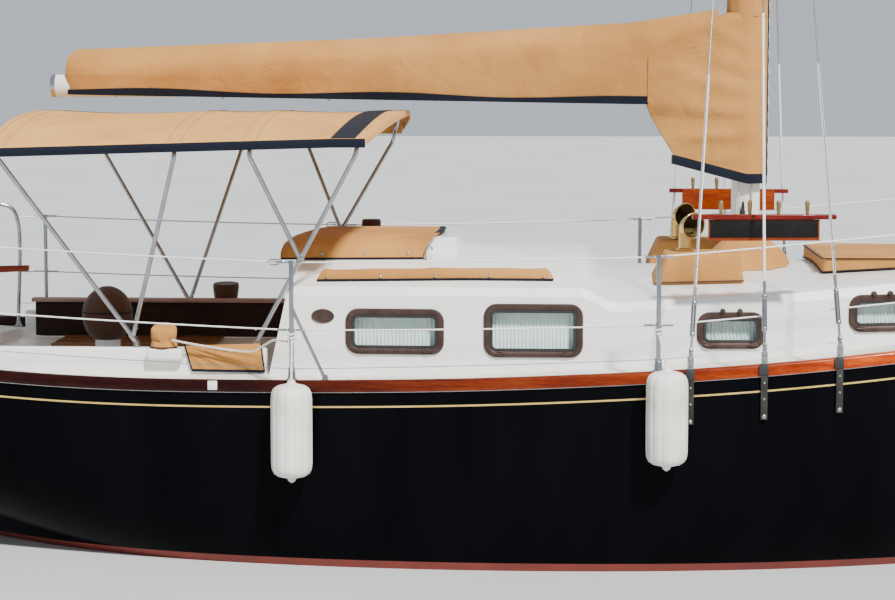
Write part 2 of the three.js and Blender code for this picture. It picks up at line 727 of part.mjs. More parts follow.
function makeCapShroud(side) {
  const foot = shroudFoot(CAP_X, side);
  const tip = [MAST_X - 60, side * (SPREADER_TIP_Y + STAY_RADIUS + 4), SPREADER_Z + 40];
  const head = [MAST_X, side * (MAST.acrossHalf + STAY_RADIUS + 1), MAST_TOP_Z - 120];
  const tang = box(
    [MAST_X - 20, side > 0 ? MAST.acrossHalf + 0.5 : -MAST.acrossHalf - 8, MAST_TOP_Z - 260],
    [MAST_X + 20, side > 0 ? MAST.acrossHalf + 8 : -MAST.acrossHalf - 0.5, MAST_TOP_Z - 80],
  );
  const upper = rod(between(tip, head, -0.0015), head, STAY_RADIUS, 6);
  return join(chainplate(CAP_X, side), ...shroudPieces(foot, tip), upper, tang);
}

function lowerHead(side) {
  return [MAST_X, side * (MAST.acrossHalf + 10), SPREADER_Z - 150];
}

function makeLowerShrouds(side) {
  const head = lowerHead(side);
  const legs = LOWER_X.flatMap((x) => [chainplate(x, side), ...shroudPieces(shroudFoot(x, side), head)]);
  const tang = box(
    [MAST_X - 40, side > 0 ? MAST.acrossHalf + 0.5 : -MAST.acrossHalf - 12, head[2] - 60],
    [MAST_X + 40, side > 0 ? MAST.acrossHalf + 12 : -MAST.acrossHalf - 0.5, head[2] + 40],
  );
  return join(...legs, tang);
}

// Pin rails seized between the lower shrouds, with a blank board below
const PIN_RAIL = { z: 1865, half: 13, width: 52, length: 750 };
const PIN_BOARD = { drop: 38, height: 86, half: 290, inset: 10, thick: 14 };
const PINS = [-225, -75, 75, 225];

// Where a lower shroud passes a height
function lowerShroudAt(x, side, z) {
  const [foot, head] = [shroudFoot(x, side), lowerHead(side)];
  return between(foot, head, (z - foot[2]) / (head[2] - foot[2]));
}

// Built along its own length with the shrouds' line at y 0, then turned to lie on both shrouds
function makePinRail(side) {
  const [aft, fore] = LOWER_X.map((x) => lowerShroudAt(x, -1, PIN_RAIL.z));
  const turn = Math.atan2(fore[1] - aft[1], fore[0] - aft[0]);
  const middle = between(aft, fore, 0.5);
  const { length, width, half } = PIN_RAIL;
  const cap = box([-length / 2, 0, -half], [length / 2, width, half]);
  const board = box(
    [-PIN_BOARD.half, PIN_BOARD.inset, -PIN_BOARD.drop - PIN_BOARD.height],
    [PIN_BOARD.half, PIN_BOARD.inset + PIN_BOARD.thick, -PIN_BOARD.drop],
  );
  const web = box([-260, PIN_BOARD.inset, -PIN_BOARD.drop - 5], [260, PIN_BOARD.inset + PIN_BOARD.thick, 0]);
  const pins = PINS.map((x) => rod([x, 30, -90], [x, 30, 85], 10, 6, 13));
  const pieces = [cap, board, web, ...pins].map((piece) => {
    const placed = piece.rotateZ(turn).translate(...middle);
    return side > 0 ? mirrored(placed) : placed;
  });
  const notches = LOWER_X.map((x) => solid(rod(shroudFoot(x, side), lowerHead(side), STAY_RADIUS + GAP + 0.2, 8)));
  return cut(join(...pieces), ...notches);
}

// Bowsprit, boomkin and their stays
const SPRIT = { aftX: 3080, aftZ: 1520, tipX: 6000, tipZ: 1800, radius: 55 };
const SPRIT_RING_X = 5900;
const BOOMKIN = { tipX: -5200, tipZ: 1250, footX: -3920, footY: 520 };

function spritZ(x) {
  return SPRIT.aftZ + ((SPRIT.tipZ - SPRIT.aftZ) * (x - SPRIT.aftX)) / (SPRIT.tipX - SPRIT.aftX);
}

function makeBowsprit() {
  const spar = rod([SPRIT.aftX, 0, SPRIT.aftZ], [SPRIT.tipX, 0, SPRIT.tipZ], SPRIT.radius, 12);
  const heel = box([SPRIT.aftX - 60, -90, 1250], [SPRIT.aftX + 70, 90, SPRIT.aftZ + 90]);
  const stemChock = box([4090, -42, 1400], [4230, 42, spritZ(4160)]);
  return cut(join(spar, heel, stemChock), deckCutter);
}

function makeBoomkin() {
  const legs = [-1, 1].map((side) => rod([BOOMKIN.footX, side * BOOMKIN.footY, 1240], [BOOMKIN.tipX, 0, BOOMKIN.tipZ], 30, 8));
  const feet = [-1, 1].map((side) =>
    box([BOOMKIN.footX - 10, side * BOOMKIN.footY - 40, 900], [BOOMKIN.footX + 90, side * BOOMKIN.footY + 40, 1262]),
  );
  return cut(join(...legs, ...feet, boomkinTip(0)), deckCutter);
}

function boomkinTip(grow) {
  const { tipX, tipZ } = BOOMKIN;
  return rod([tipX - 40 - grow, 0, tipZ], [tipX + 60 + grow, 0, tipZ], 42 + grow, 10);
}

function makeSpritStays() {
  const tip = [SPRIT_RING_X, 0, spritZ(SPRIT_RING_X)];
  const ring = cut(
    join(rod([tip[0] - 25, 0, spritZ(tip[0] - 25)], [tip[0] + 25, 0, spritZ(tip[0] + 25)], SPRIT.radius + 14, 12)),
    solid(spritClear()),
  );
  const below = [tip[0], 0, tip[2] - SPRIT.radius - 10];
  const bobstay = rod([4262, 0, 330], below, STAY_RADIUS + 2, 6);
  const whiskers = [-1, 1].map((side) =>
    rod([3500, side * (halfBeam(3500) + 22), deckEdge(3500) - 40], [tip[0], side * (SPRIT.radius + 9), tip[2]], STAY_RADIUS, 6),
  );
  const plates = [-1, 1].map((side) =>
    box([3440, side * (halfBeam(3470) + 25) - 26, deckEdge(3500) - 90], [3520, side * (halfBeam(3470) + 25) + 26, deckEdge(3500) - 10]),
  );
  const stays = join(bobstay, ...whiskers, ...plates).add(ring);
  const clear = 0.8;
  const grown = STATIONS.map((row) => hullRing({ ...row, beam: row.beam + clear, thick: row.thick + clear }));
  return cut(stays, solid(loft(grown)), solid(hullSkin.clone().translate(clear, 0, 0)));
}

// A stay on the centreline, trimmed where it meets the mast and its foot
function makeStay(foot, headZ, footing) {
  const stay = join(...shroudPieces([foot[0], 0, foot[1]], [MAST_X, 0, headZ]));
  return cut(stay, solid(mastColumn(GAP + 0.1)), solid(footing));
}

function spritClear() {
  return rod([SPRIT.aftX, 0, SPRIT.aftZ], [SPRIT.tipX, 0, SPRIT.tipZ], SPRIT.radius + GAP + 0.2, 12);
}

// Boom with its collar around the mast
const BOOM = { endX: -3080, low: 2470, high: 2600, half: 52 };

function makeBoom() {
  const spar = box([BOOM.endX, -BOOM.half, BOOM.low], [MAST_X - COLLAR.ring - 4, BOOM.half, BOOM.high]);
  const collar = rod([MAST_X, 0, GOOSENECK_Z - COLLAR.half], [MAST_X, 0, GOOSENECK_Z + COLLAR.half], COLLAR.outer, COLLAR.sides);
  const hole = rod([MAST_X, 0, GOOSENECK_Z - 90], [MAST_X, 0, GOOSENECK_Z + 90], COLLAR.ring, COLLAR.sides);
  return cut(join(spar, collar), solid(hole));
}

// Sail cover along the boom, with a deep boot round the mast
const COVER = { low: 2430, end: -2980, boot: 118, bore: 107, bootLow: 1960, bootHigh: 3350 };

function makeSailCover() {
  const section = (x, half, top) =>
    sectionRing(x, [[0, top], [half * 0.55, top - 40], [half, top - 170], [half * 0.9, 2560], [half * 0.72, COVER.low]]);
  const bundle = loft([
    section(COVER.end, 88, 2745),
    section(-1200, 112, 2810),
    section(300, 128, 2900),
    section(MAST_X - 60, 112, 2990),
  ]);
  const tail = Array.from({ length: 13 }, (_, index) => {
    const angle = THREE.MathUtils.degToRad(-105 + index * 17.5);
    return [MAST_X + COVER.boot * Math.cos(angle), COVER.boot * Math.sin(angle)];
  });
  const boot = floorPlate([...tail, [MAST_X - 330, 62], [MAST_X - 330, -62]], COVER.bootLow, 2960);
  const collar = rod([MAST_X, 0, 2900], [MAST_X, 0, COVER.bootHigh], COVER.boot, 24);
  const bore = rod([MAST_X, 0, 1800], [MAST_X, 0, 3500], COVER.bore, 24);
  const boomRoom = box([-4000, -BOOM.half - 1, 1900], [MAST_X - 50, BOOM.half + 1, BOOM.high + 0.5]);
  const upToBoot = box([-4000, -400, 1900], [MAST_X - 325, 400, COVER.low]);
  return cut(join(bundle, boot, collar), solid(bore), solid(boomRoom), solid(upToBoot));
}

// Cockpit: coamings, covered winches, locker lids and the hooded binnacle
const COAMING = { aft: -3480, fore: -1706, inner: 925, outer: 985, top: 1120 };
const WINCH = { x: -2240, radius: 70, height: 150 };

function makeCoaming(side) {
  const span = (a, b) => (side > 0 ? [a, b] : [-b, -a]);
  const [lowY, highY] = span(COAMING.inner, COAMING.outer);
  const [padLow, padHigh] = span(COAMING.inner - 20, COAMING.outer + 60);
  const board = box([COAMING.aft, lowY, 800], [COAMING.fore, highY, COAMING.top]);
  const pad = box([WINCH.x - 110, padLow, COAMING.top - 60], [WINCH.x + 110, padHigh, COAMING.top]);
  return cut(join(board, pad), deckCutter);
}

function makeWinch(side) {
  const y = side * (COAMING.inner + COAMING.outer + 40) * 0.5;
  const foot = COAMING.top + GAP;
  const drum = rod([WINCH.x, y, foot], [WINCH.x, y, foot + WINCH.height - 20], WINCH.radius, 16, WINCH.radius - 6);
  const cap = rod([WINCH.x, y, foot + WINCH.height - 21], [WINCH.x, y, foot + WINCH.height], WINCH.radius - 6, 16, 40);
  return join(drum, cap);
}

function makeLockerLid(side) {
  return solid(lockerBox(side, SEAT_Z + GAP, SEAT_Z + 18, 45));
}

function makeBinnacle() {
  const column = rod([-2770, 0, WELL_SOLE_Z + GAP], [-2770, 0, 1210], 75, 12);
  const foot = rod([-2770, 0, WELL_SOLE_Z + GAP], [-2770, 0, WELL_SOLE_Z + 40], 120, 12);
  const dome = new THREE.SphereGeometry(150, 16, 8).scale(1, 1, 1.15).translate(-2770, 0, 1195);
  return join(column, foot, dome);
}

// Bimini: stainless bows in two sets, with a canvas top
const BIMINI = { fore: -1150, aft: -3150, half: 1380, edge: 2200, crown: 2390, cloth: 12, hem: 75 };
const BOW_FOOT = { foreX: -1765, aftX: -2420, y: 955, pad: 22, padHeight: 30 };
const BOW_TOPS = [-1190, -1740, -2140, -3080];

// A bow's route: up from its foot, round its shoulder and across under the canvas
function bowRoute(topX, foot) {
  const inside = BIMINI.half - 42;
  const under = (y) => biminiHeight(y) - BIMINI.cloth - TUBE_RADIUS - 3;
  const shoulder = [topX, inside, BIMINI.edge - 30];
  const port = [
    foot,
    between(foot, shoulder, 0.5),
    shoulder,
    [topX, inside - 22, under(inside) - 12],
    [topX, inside - 90, under(inside - 90)],
    [topX, 820, under(820)],
    [topX, 400, under(400)],
  ];
  const starboard = port.map(([x, y, z]) => [x, -y, z]).reverse();
  return [...port, [topX, 0, under(0)], ...starboard];
}

function bowSet(footX, topX, branchX, branchShare) {
  const foot = [footX, BOW_FOOT.y, COAMING.top + GAP + BOW_FOOT.padHeight - 4];
  const main = bowRoute(topX, foot);
  const branch = bowRoute(branchX, between(main[0], main[2], branchShare));
  const pads = [-1, 1].map((side) =>
    rod(
      [footX, side * BOW_FOOT.y, COAMING.top + GAP],
      [footX, side * BOW_FOOT.y, COAMING.top + GAP + BOW_FOOT.padHeight],
      BOW_FOOT.pad,
    ),
  );
  const bows = join(bentTube(main, TUBE_RADIUS, 32), bentTube(branch, TUBE_RADIUS, 30), ...pads);
  return cut(bows, solid(canopySkin().translate(0, 0, -GAP)));
}

function biminiHeight(y) {
  return BIMINI.crown - (BIMINI.crown - BIMINI.edge - BIMINI.hem) * (Math.abs(y) / BIMINI.half) ** 2.4;
}

function canopySkin() {
  const steps = Array.from({ length: 13 }, (_, index) => -1 + index / 6);
  const outer = steps.map((share) => [share * BIMINI.half, biminiHeight(share * BIMINI.half)]);
  const inner = steps.map((share) => [
    share * (BIMINI.half - BIMINI.cloth),
    biminiHeight(share * BIMINI.half) - BIMINI.cloth,
  ]);
  const outline = [
    [-BIMINI.half + BIMINI.cloth, BIMINI.edge],
    [-BIMINI.half, BIMINI.edge],
    ...outer,
    [BIMINI.half, BIMINI.edge],
    [BIMINI.half - BIMINI.cloth, BIMINI.edge],
    ...inner.reverse(),
  ];
  return crossPlate(outline, BIMINI.aft, BIMINI.fore);
}

// Pulpit on the foredeck and pushpit round the stern
function makePulpit() {
  const foot = (x) => [x, halfBeam(x) - 70, deckEdge(x) - 40];
  const top = 2170;
  const port = [foot(3050), [3062, 905, top - 190], [3110, 880, top - 130], [3500, 690, top - 60], [3930, 380, top]];
  const starboard = port.map(([x, y, z]) => [x, -y, z]).reverse();
  const rail = bentTube([...port, [4090, 0, top + 10], ...starboard], TUBE_RADIUS, 30);
  const legs = [-1, 1].map((side) => {
    const [x, y, z] = foot(3700);
    return rod([x, side * y, z], [3930, side * 380, top], TUBE_RADIUS);
  });
  return cut(join(rail, ...legs), deckCutter);
}

function makePushpit() {
  const foot = (x) => [x, halfBeam(x) - 80, deckEdge(x) - 40];
  const top = 1770;
  const port = [foot(-3560), [-3562, 1095, top - 70], [-3620, 1088, top], [-4080, 950, top], [-4190, 780, top]];
  const starboard = port.map(([x, y, z]) => [x, -y, z]).reverse();
  const rail = bentTube([...port, ...starboard], TUBE_RADIUS, 30);
  const legs = [-1, 1].map((side) => rod([-4080, side * 880, 900], [-4080, side * 950, top], TUBE_RADIUS));
  return cut(join(rail, ...legs), deckCutter);
}

// Fenders hang outside the rail, each on a lanyard up to a stanchion
const FENDERS = [
  { name: "fore_fender", x: 436, top: 1116, stanchion: 395 },
  { name: "aft_fender", x: -1497, top: 1030, stanchion: -1510 },
];
const FENDER = { radius: 109, length: 540 };

function makeFender({ x, top, stanchion }) {
  const reach = halfBeam(x) + RAIL_OVERHANG + FENDER.radius + 0.6;
  const neck = 45;
  const low = top - FENDER.length;
  const body = rod([x, -reach, low + neck], [x, -reach, top - neck], FENDER.radius, 16);
  const upper = rod([x, -reach, top - neck - 1], [x, -reach, top], FENDER.radius, 16, 34);
  const lower = rod([x, -reach, low], [x, -reach, low + neck + 1], 34, 16, FENDER.radius);
  const post = [stanchion, -(halfBeam(stanchion) - RAIL_OVERHANG) - TUBE_RADIUS - 6, railTop(stanchion) + 215];
  return join(body, upper, lower, rod([x, -reach, top - 20], post, 5, 6));
}

// Outboard rudder, tiller and propeller
const RUDDER_HALF = 22;
const RUDDER_HEAD_Z = 1390;

function makeRudder() {
  const front = (z) => sternX(z) - PINTLE_OFFSET;
  const outline = [
    [front(RUDDER_HEAD_Z), RUDDER_HEAD_Z],
    [front(-1420), -1420],
    [front(-1420) - 430, -1400],
    [front(-1000) - 600, -1000],
    [front(-200) - 520, -200],
    [front(250) - 300, 250],
    [front(RUDDER_HEAD_Z) - 220, RUDDER_HEAD_Z],
  ];
  const blade = solid(sidePlate(outline, -RUDDER_HALF, RUDDER_HALF));
  const notches = PINTLE_HEIGHTS.map((z) => {
    const [low, high] = [z - GUDGEON_HALF - 12, z + GUDGEON_HALF + 12];
    const back = GUDGEON_RADIUS + 14;
    return solid(
      sidePlate([[front(low) - back, low], [front(low) + 90, low], [front(high) + 90, high], [front(high) - back, high]], -90, 90),
    );
  });
  const pins = PINTLE_HEIGHTS.map((z) => solid(pintleRod(z, GUDGEON_HALF + 30, PINTLE_RADIUS, 12)));
  return pins.reduce((whole, pin) => whole.add(pin), cut(blade, ...notches));
}

function makeTiller() {
  const [aft, fore] = [sternX(RUDDER_HEAD_Z) - 190, -3230];
  const z = RUDDER_HEAD_Z + GAP;
  return solid(
    sidePlate([[aft, z], [fore, z + 60], [fore, z + 95], [-4250, z + 66], [aft, z + 60]], -24, 24),
  );
}

function makePropeller() {
  const x = sternX(SHAFT_Z) + 150;
  const shaft = rod([x, 0, SHAFT_Z], [-3320, 0, SHAFT_Z], SHAFT_RADIUS, 16);
  const hub = rod([x - 45, 0, SHAFT_Z], [x + 50, 0, SHAFT_Z], 32, 12);
  const blades = [0, 1, 2].map((turn) => {
    const blade = new THREE.BoxGeometry(16, 90, 175);
    return blade
      .rotateZ(THREE.MathUtils.degToRad(32))
      .translate(0, 0, 110)
      .rotateX((turn * Math.PI * 2) / 3)
      .translate(x, 0, SHAFT_Z);
  });
  return join(shaft, hub, ...blades);
}

function makeEngine() {
  const floor = -250 + GAP;
  const block = box([-2420, -170, floor], [-1780, 170, 180]);
  const head = box([-2380, -110, 179], [-1880, 110, 300]);
  const beds = box([-2480, -240, floor], [-1740, 240, floor + 60]);
  return join(block, head, beds);
}

// Put every part in the group
const SIDES = [
  { name: "starboard", side: -1 },
  { name: "port", side: 1 },
];

const hull = makeHull();
for (const section of HULL_SECTIONS) {
  addPart(section.name, hullSection(hull, section), COLORS.hull);
}
addPart("ballast_keel", makeBallast(), COLORS.iron);
addPart("engine", makeEngine(), COLORS.iron);
addPart("cabin_trunk", makeTrunk(), COLORS.white);
addPart("sea_hood", makeSeaHood(), COLORS.white);
addPart("companionway_hatch", makeSlidingHatch(), COLORS.teak);
addPart("companionway_boards", makeDropBoards(), COLORS.teak);
addPart("hatch_cover", makeHatchCover(), COLORS.canvas);
addPart("fore_hatch_coaming", makeForeCoaming(), COLORS.teak);
addPart("fore_hatch_lid", makeForeLid(), COLORS.canvas);
addPart("mast", makeMast(), COLORS.white);
addPart("boom", makeBoom(), COLORS.white);
addPart("sail_cover", makeSailCover(), COLORS.canvas);
addPart("bowsprit", makeBowsprit(), COLORS.teak);
addPart("bowsprit_stays", makeSpritStays(), COLORS.steel);
addPart("boomkin", makeBoomkin(), COLORS.teak);
addPart("forestay", makeStay([5820, spritZ(5820)], STAY_HEAD_Z, spritClear()), COLORS.steel);
addPart("staysail_stay", makeStay([4160, spritZ(4160)], STAYSAIL_HEAD_Z, spritClear()), COLORS.steel);
addPart("backstay", makeStay([BOOMKIN.tipX + 10, BOOMKIN.tipZ], STAY_HEAD_Z, boomkinTip(GAP + 0.2)), COLORS.steel);
addPart("pulpit", makePulpit(), COLORS.steel);
addPart("pushpit", makePushpit(), COLORS.steel);
addPart("bimini_fore_bows", bowSet(BOW_FOOT.foreX, BOW_TOPS[0], BOW_TOPS[1], 0.46), COLORS.steel);
addPart("bimini_aft_bows", bowSet(BOW_FOOT.aftX, BOW_TOPS[3], BOW_TOPS[2], 0.03), COLORS.steel);
addPart("bimini_canopy", solid(canopySkin()), COLORS.canvas);
addPart("binnacle", makeBinnacle(), COLORS.canvas);
addPart("rudder", makeRudder(), COLORS.hull);
addPart("tiller", makeTiller(), COLORS.teak);
addPart("propeller", makePropeller(), COLORS.brass);
for (const fender of FENDERS) {
  addPart(fender.name, makeFender(fender), COLORS.vinyl);
}
for (const { name, side } of SIDES) {
  addPart(`${name}_rail`, makeRail(side), COLORS.teak);
  addPart(`${name}_handrail_cover`, makeHandrailCover(side), COLORS.canvas);
  addPart(`${name}_deck_box`, makeDeckBox(side), COLORS.canvas);
  addPart(`${name}_cowl_vent`, makeCowl(side), COLORS.brass);
  addPart(`${name}_cap_shroud`, makeCapShroud(side), COLORS.steel);
  addPart(`${name}_lower_shrouds`, makeLowerShrouds(side), COLORS.steel);
  addPart(`${name}_pin_rail`, makePinRail(side), COLORS.teak);
  addPart(`${name}_coaming`, makeCoaming(side), COLORS.white);
  addPart(`${name}_winch`, makeWinch(side), COLORS.canvas);
  addPart(`${name}_locker_lid`, makeLockerLid(side), COLORS.teak);
  WINDOWS.forEach((window, index) => {
    addPart(`${name}_window_${index + 1}`, makeWindow(window, side), COLORS.bronze);
  });
}

export default yacht;
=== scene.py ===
"""A traditional cutter-rigged sailing yacht afloat, with her canvas covers on. Metres, +X to the bow."""
import math

import bpy
from mathutils import Matrix, Vector, noise


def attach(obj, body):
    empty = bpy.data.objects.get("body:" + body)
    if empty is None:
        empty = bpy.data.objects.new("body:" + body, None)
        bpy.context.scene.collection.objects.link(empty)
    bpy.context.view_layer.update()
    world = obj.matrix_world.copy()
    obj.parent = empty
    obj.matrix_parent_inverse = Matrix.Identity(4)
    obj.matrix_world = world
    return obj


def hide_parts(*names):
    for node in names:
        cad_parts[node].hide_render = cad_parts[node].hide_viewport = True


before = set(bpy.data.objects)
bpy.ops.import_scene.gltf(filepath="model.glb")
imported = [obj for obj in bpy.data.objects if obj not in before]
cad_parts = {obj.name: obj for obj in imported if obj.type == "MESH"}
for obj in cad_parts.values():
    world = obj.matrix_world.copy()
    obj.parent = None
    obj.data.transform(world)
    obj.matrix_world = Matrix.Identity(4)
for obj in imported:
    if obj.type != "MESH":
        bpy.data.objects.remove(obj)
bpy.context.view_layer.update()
SIDES = ((-1, "starboard"), (1, "port"))
bpy.ops.object.select_all(action="DESELECT")

# Camera, floor and light.
# The eye stands about 12 m off the starboard side, 2.6 m above the water, as in the photograph.
# The floor is the water's level; one broad high light and a pale surround make a soft studio.
camera_data = bpy.data.cameras.new("side_camera")
camera_data.sensor_width = 36
camera_data.lens = 92.96
camera_data.clip_end = 200
camera = bpy.data.objects.new("side_camera", camera_data)
camera.location = (-0.095, -13.39, 2.62)
camera.rotation_euler = (math.radians(84.34), 0, math.radians(2.886))
bpy.context.scene.collection.objects.link(camera)
bpy.context.scene.camera = camera


def add_node(material, kind, sources=None, **values):
    """Adds a shader node, sets its inputs and feeds it from other nodes' outputs."""
    node = material.node_tree.nodes.new(f"ShaderNode{kind}")
    for socket, value in values.items():
        node.inputs[socket].default_value = value
    for socket, source in (sources or {}).items():
        material.node_tree.links.new(source, node.inputs[socket])
    return node


def feed(material, socket, source):
    """Feeds an input of the material's shader."""
    material.node_tree.links.new(source, material.node_tree.nodes["Principled BSDF"].inputs[socket])


def coloured_ramp(material, source, stops):
    """A colour ramp of positions and colours, read at the source's value."""
    ramp = add_node(material, "ValToRGB", {"Fac": source})
    elements = ramp.color_ramp.elements
    for index, (position, colour) in enumerate(stops):
        element = elements[index] if index < 2 else elements.new(position)
        element.position = position
        element.color = (*colour, 1)
    return ramp.outputs["Color"]


def finish(
    name,
    colours,
    roughness,
    metallic=0.0,
    scale=3.0,
    stretch=(1, 1, 1),
    relief=0.0,
    relief_scale=90.0,
    **sockets,
):
    """A finish whose colour and gloss drift with a slow pattern, over a fine relief."""
    material = bpy.data.materials.new(name)
    material.use_nodes = True
    shader = material.node_tree.nodes["Principled BSDF"]
    shader.inputs["Metallic"].default_value = metallic
    for socket, value in sockets.items():
        shader.inputs[socket.replace("_", " ")].default_value = value
    place = add_node(material, "TexCoord").outputs["Object"]
    mapped = add_node(material, "Mapping", {"Vector": place}, Scale=stretch).outputs["Vector"]
    drift = add_node(material, "TexNoise", {"Vector": mapped}, Scale=scale, Detail=6).outputs["Fac"]
    last = max(1, len(colours) - 1)
    stops = [(0.3 + 0.4 * index / last, colour) for index, colour in enumerate(colours)]
    feed(material, "Base Color", coloured_ramp(material, drift, stops))
    limits = {"To Min": roughness[0], "To Max": roughness[1]}
    gloss = add_node(material, "MapRange", {"Value": drift}, **limits)
    feed(material, "Roughness", gloss.outputs["Result"])
    if relief:
        grain = add_node(material, "TexNoise", {"Vector": mapped}, Scale=relief_scale)
        bump = add_node(material, "Bump", {"Height": grain.outputs["Fac"]}, Strength=relief, Distance=0.002)
        feed(material, "Normal", bump.outputs["Normal"])
    return material


bpy.ops.mesh.primitive_plane_add(size=160)
water_level = bpy.context.object
water_level.name = "studio_floor"
water_level.data.materials.append(
    finish("pale_floor", [(0.50, 0.52, 0.53), (0.54, 0.55, 0.56)], (0.7, 0.8), scale=0.4)
)

sun_data = bpy.data.lights.new("high_light", "SUN")
sun_data.energy = 7.0
sun_data.angle = math.radians(5)
sun_data.color = (1.0, 0.97, 0.92)
sun = bpy.data.objects.new("high_light", sun_data)
sun.rotation_euler = (math.radians(42), 0, math.radians(28))
bpy.context.scene.collection.objects.link(sun)

surround = bpy.data.worlds.new("pale_surround")
surround.use_nodes = True
backdrop = surround.node_tree.nodes["Background"]
backdrop.inputs["Color"].default_value = (0.80, 0.87, 0.95, 1)
backdrop.inputs["Strength"].default_value = 0.72
bpy.context.scene.world = surround

# Hull.
# A moulded full-keel hull in polished black, with a pale deck, a moulded cockpit and red bottom paint.
# Its skin is laid over the stations of the lines, faired between them, and the wells are cut out of it.
LINES = [
    # x, half breadth, fullness, hollow, rabbet z, keel z, half thickness of the keel
    (-4.40, 0.935, 3.0, 1.50, 0.06, -1.45, 0.038),
    (-4.00, 1.055, 3.1, 1.50, -0.06, -1.45, 0.040),
    (-3.40, 1.200, 3.3, 1.45, -0.27, -1.45, 0.045),
    (-2.70, 1.340, 3.6, 1.40, -0.52, -1.45, 0.060),
    (-1.90, 1.450, 4.0, 1.35, -0.72, -1.45, 0.080),
    (-0.90, 1.525, 4.4, 1.30, -0.81, -1.38, 0.095),
    (0.00, 1.540, 4.5, 1.30, -0.82, -1.30, 0.100),
    (0.90, 1.510, 4.1, 1.30, -0.79, -1.19, 0.095),
    (1.70, 1.415, 3.5, 1.25, -0.73, -1.08, 0.085),
    (2.40, 1.255, 2.9, 1.20, -0.65, -0.96, 0.070),
    (3.00, 1.020, 2.4, 1.15, -0.56, -0.83, 0.058),
    (3.50, 0.750, 2.0, 1.10, -0.44, -0.68, 0.048),
    (3.90, 0.470, 1.7, 1.08, -0.26, -0.48, 0.040),
    (4.15, 0.245, 1.5, 1.05, 0.01, -0.15, 0.035),
    (4.27, 0.110, 1.4, 1.00, 0.42, 0.30, 0.032),
    (4.31, 0.045, 1.3, 1.00, 0.90, 0.85, 0.030),
]
BEAM, FULLNESS, HOLLOW, RABBET, KEEL, THICK = range(1, 7)
DECK_DROP, BOOT_TOP = 0.062, 0.045  # deck edge under the rail's top, bottom paint's edge above the water
STERN_RAKE = 0.24


def clamp(value, low=0.0, high=1.0):
    return max(low, min(high, value))


def row_before(rows, x):
    return max(0, min(len(rows) - 2, sum(1 for row in rows[1:-1] if row[0] < x)))


def straight(rows, column, x):
    low, high = rows[row_before(rows, x)], rows[row_before(rows, x) + 1]
    return low[column] + (high[column] - low[column]) * (x - low[0]) / (high[0] - low[0])


def faired(rows, column, x):
    """A smooth value between the rows, with each row's slope shared by its two sides."""
    index = row_before(rows, x)

    def slope_at(row):
        ends = [(a, a + 1) for a in (row - 1, row) if 0 <= a < len(rows) - 1]
        steps = [(rows[b][column] - rows[a][column]) / (rows[b][0] - rows[a][0]) for a, b in ends]
        return sum(steps) / len(steps)

    low, high = rows[index], rows[index + 1]
    length = high[0] - low[0]
    share = (x - low[0]) / length
    square, cube = share**2, share**3
    return (
        low[column] * (2 * cube - 3 * square + 1)
        + slope_at(index) * length * (cube - 2 * square + share)
        + high[column] * (3 * square - 2 * cube)
        + slope_at(index + 1) * length * (cube - square)
    )


def sheer(x):
    return 1.038 + (0.019 if x > -1.1 else 0.0135) * (x + 1.1) ** 2


def rail_top(x):
    """The rail lies a little under the sheer by the cockpit, and lifts again to the stern."""
    if x < -2.1:
        return 1.0064 + 0.0243 * (x + 2.25) ** 2 + 0.0032 * (-2.1 - x) ** 3
    return sheer(x) - 0.0066 * max(0.0, 0.5 - x) ** 2


def half_beam(x):
    return faired(LINES, BEAM, x)


def deck_edge(x):
    return rail_top(x) - DECK_DROP


def side_point(x, share):
    """Half breadth and height on the topside, share 0 at the deck edge and 1 at the rabbet."""
    edge, rabbet, thick = deck_edge(x), faired(LINES, RABBET, x), faired(LINES, THICK, x)
    swell = (1 - share ** faired(LINES, FULLNESS, x)) ** faired(LINES, HOLLOW, x)
    return thick + (half_beam(x) - thick) * swell, edge - (edge - rabbet) * share


def skin_reach(x, z):
    """Half breadth of the skin at a height."""
    edge = deck_edge(x)
    return side_point(x, clamp((edge - z) / (edge - faired(LINES, RABBET, x))))[0]


def spread(low, high, step):
    count = max(1, round((high - low) / step))
    return [low + (high - low) * index / count for index in range(count + 1)]


def new_piece(name, points, faces, edges=()):
    mesh = bpy.data.meshes.new(name)
    mesh.from_pydata([tuple(point) for point in points], edges, faces)
    piece = bpy.data.objects.new(name, mesh)
    bpy.context.scene.collection.objects.link(piece)
    return piece


def take_up(piece):
    bpy.ops.object.select_all(action="DESELECT")
    piece.select_set(True)
    bpy.context.view_layer.objects.active = piece


def mesh_edit(piece, operator, **settings):
    """Runs one mesh operator over the whole of a piece."""
    take_up(piece)
    bpy.ops.object.mode_set(mode="EDIT")
    bpy.ops.mesh.select_all(action="SELECT")
    operator(**settings)
    bpy.ops.object.mode_set(mode="OBJECT")
    return piece


def turn_outward(piece):
    mesh_edit(piece, bpy.ops.mesh.remove_doubles, threshold=0.00005)
    return mesh_edit(piece, bpy.ops.mesh.normals_make_consistent, inside=False)


def band_faces(count, rings, looped=True):
    """Four-sided faces between rings of points that follow each other."""
    return [
        (ring + step, ring + (step + 1) % count, ring + count + (step + 1) % count, ring + count + step)
        for ring in range(0, (rings - 1) * count, count)
        for step in range(count if looped else count - 1)
    ]


def skin(name, rings, capped=False, looped=True):
    """A surface laid over rings of points; capped closes its two ends."""
    count = len(rings[0])
    faces = band_faces(count, len(rings), looped)
    if capped:
        faces.append(tuple(reversed(range(count))))
        faces.append(tuple((len(rings) - 1) * count + step for step in range(count)))
    return turn_outward(new_piece(name, [point for ring in rings for point in ring], faces))


def work(piece, kind, **settings):
    """Adds a modifier and applies it."""
    take_up(piece)
    modifier = piece.modifiers.new(kind.lower(), kind)
    for setting, value in settings.items():
        setattr(modifier, setting, value)
    bpy.ops.object.modifier_apply(modifier=modifier.name)
    return piece


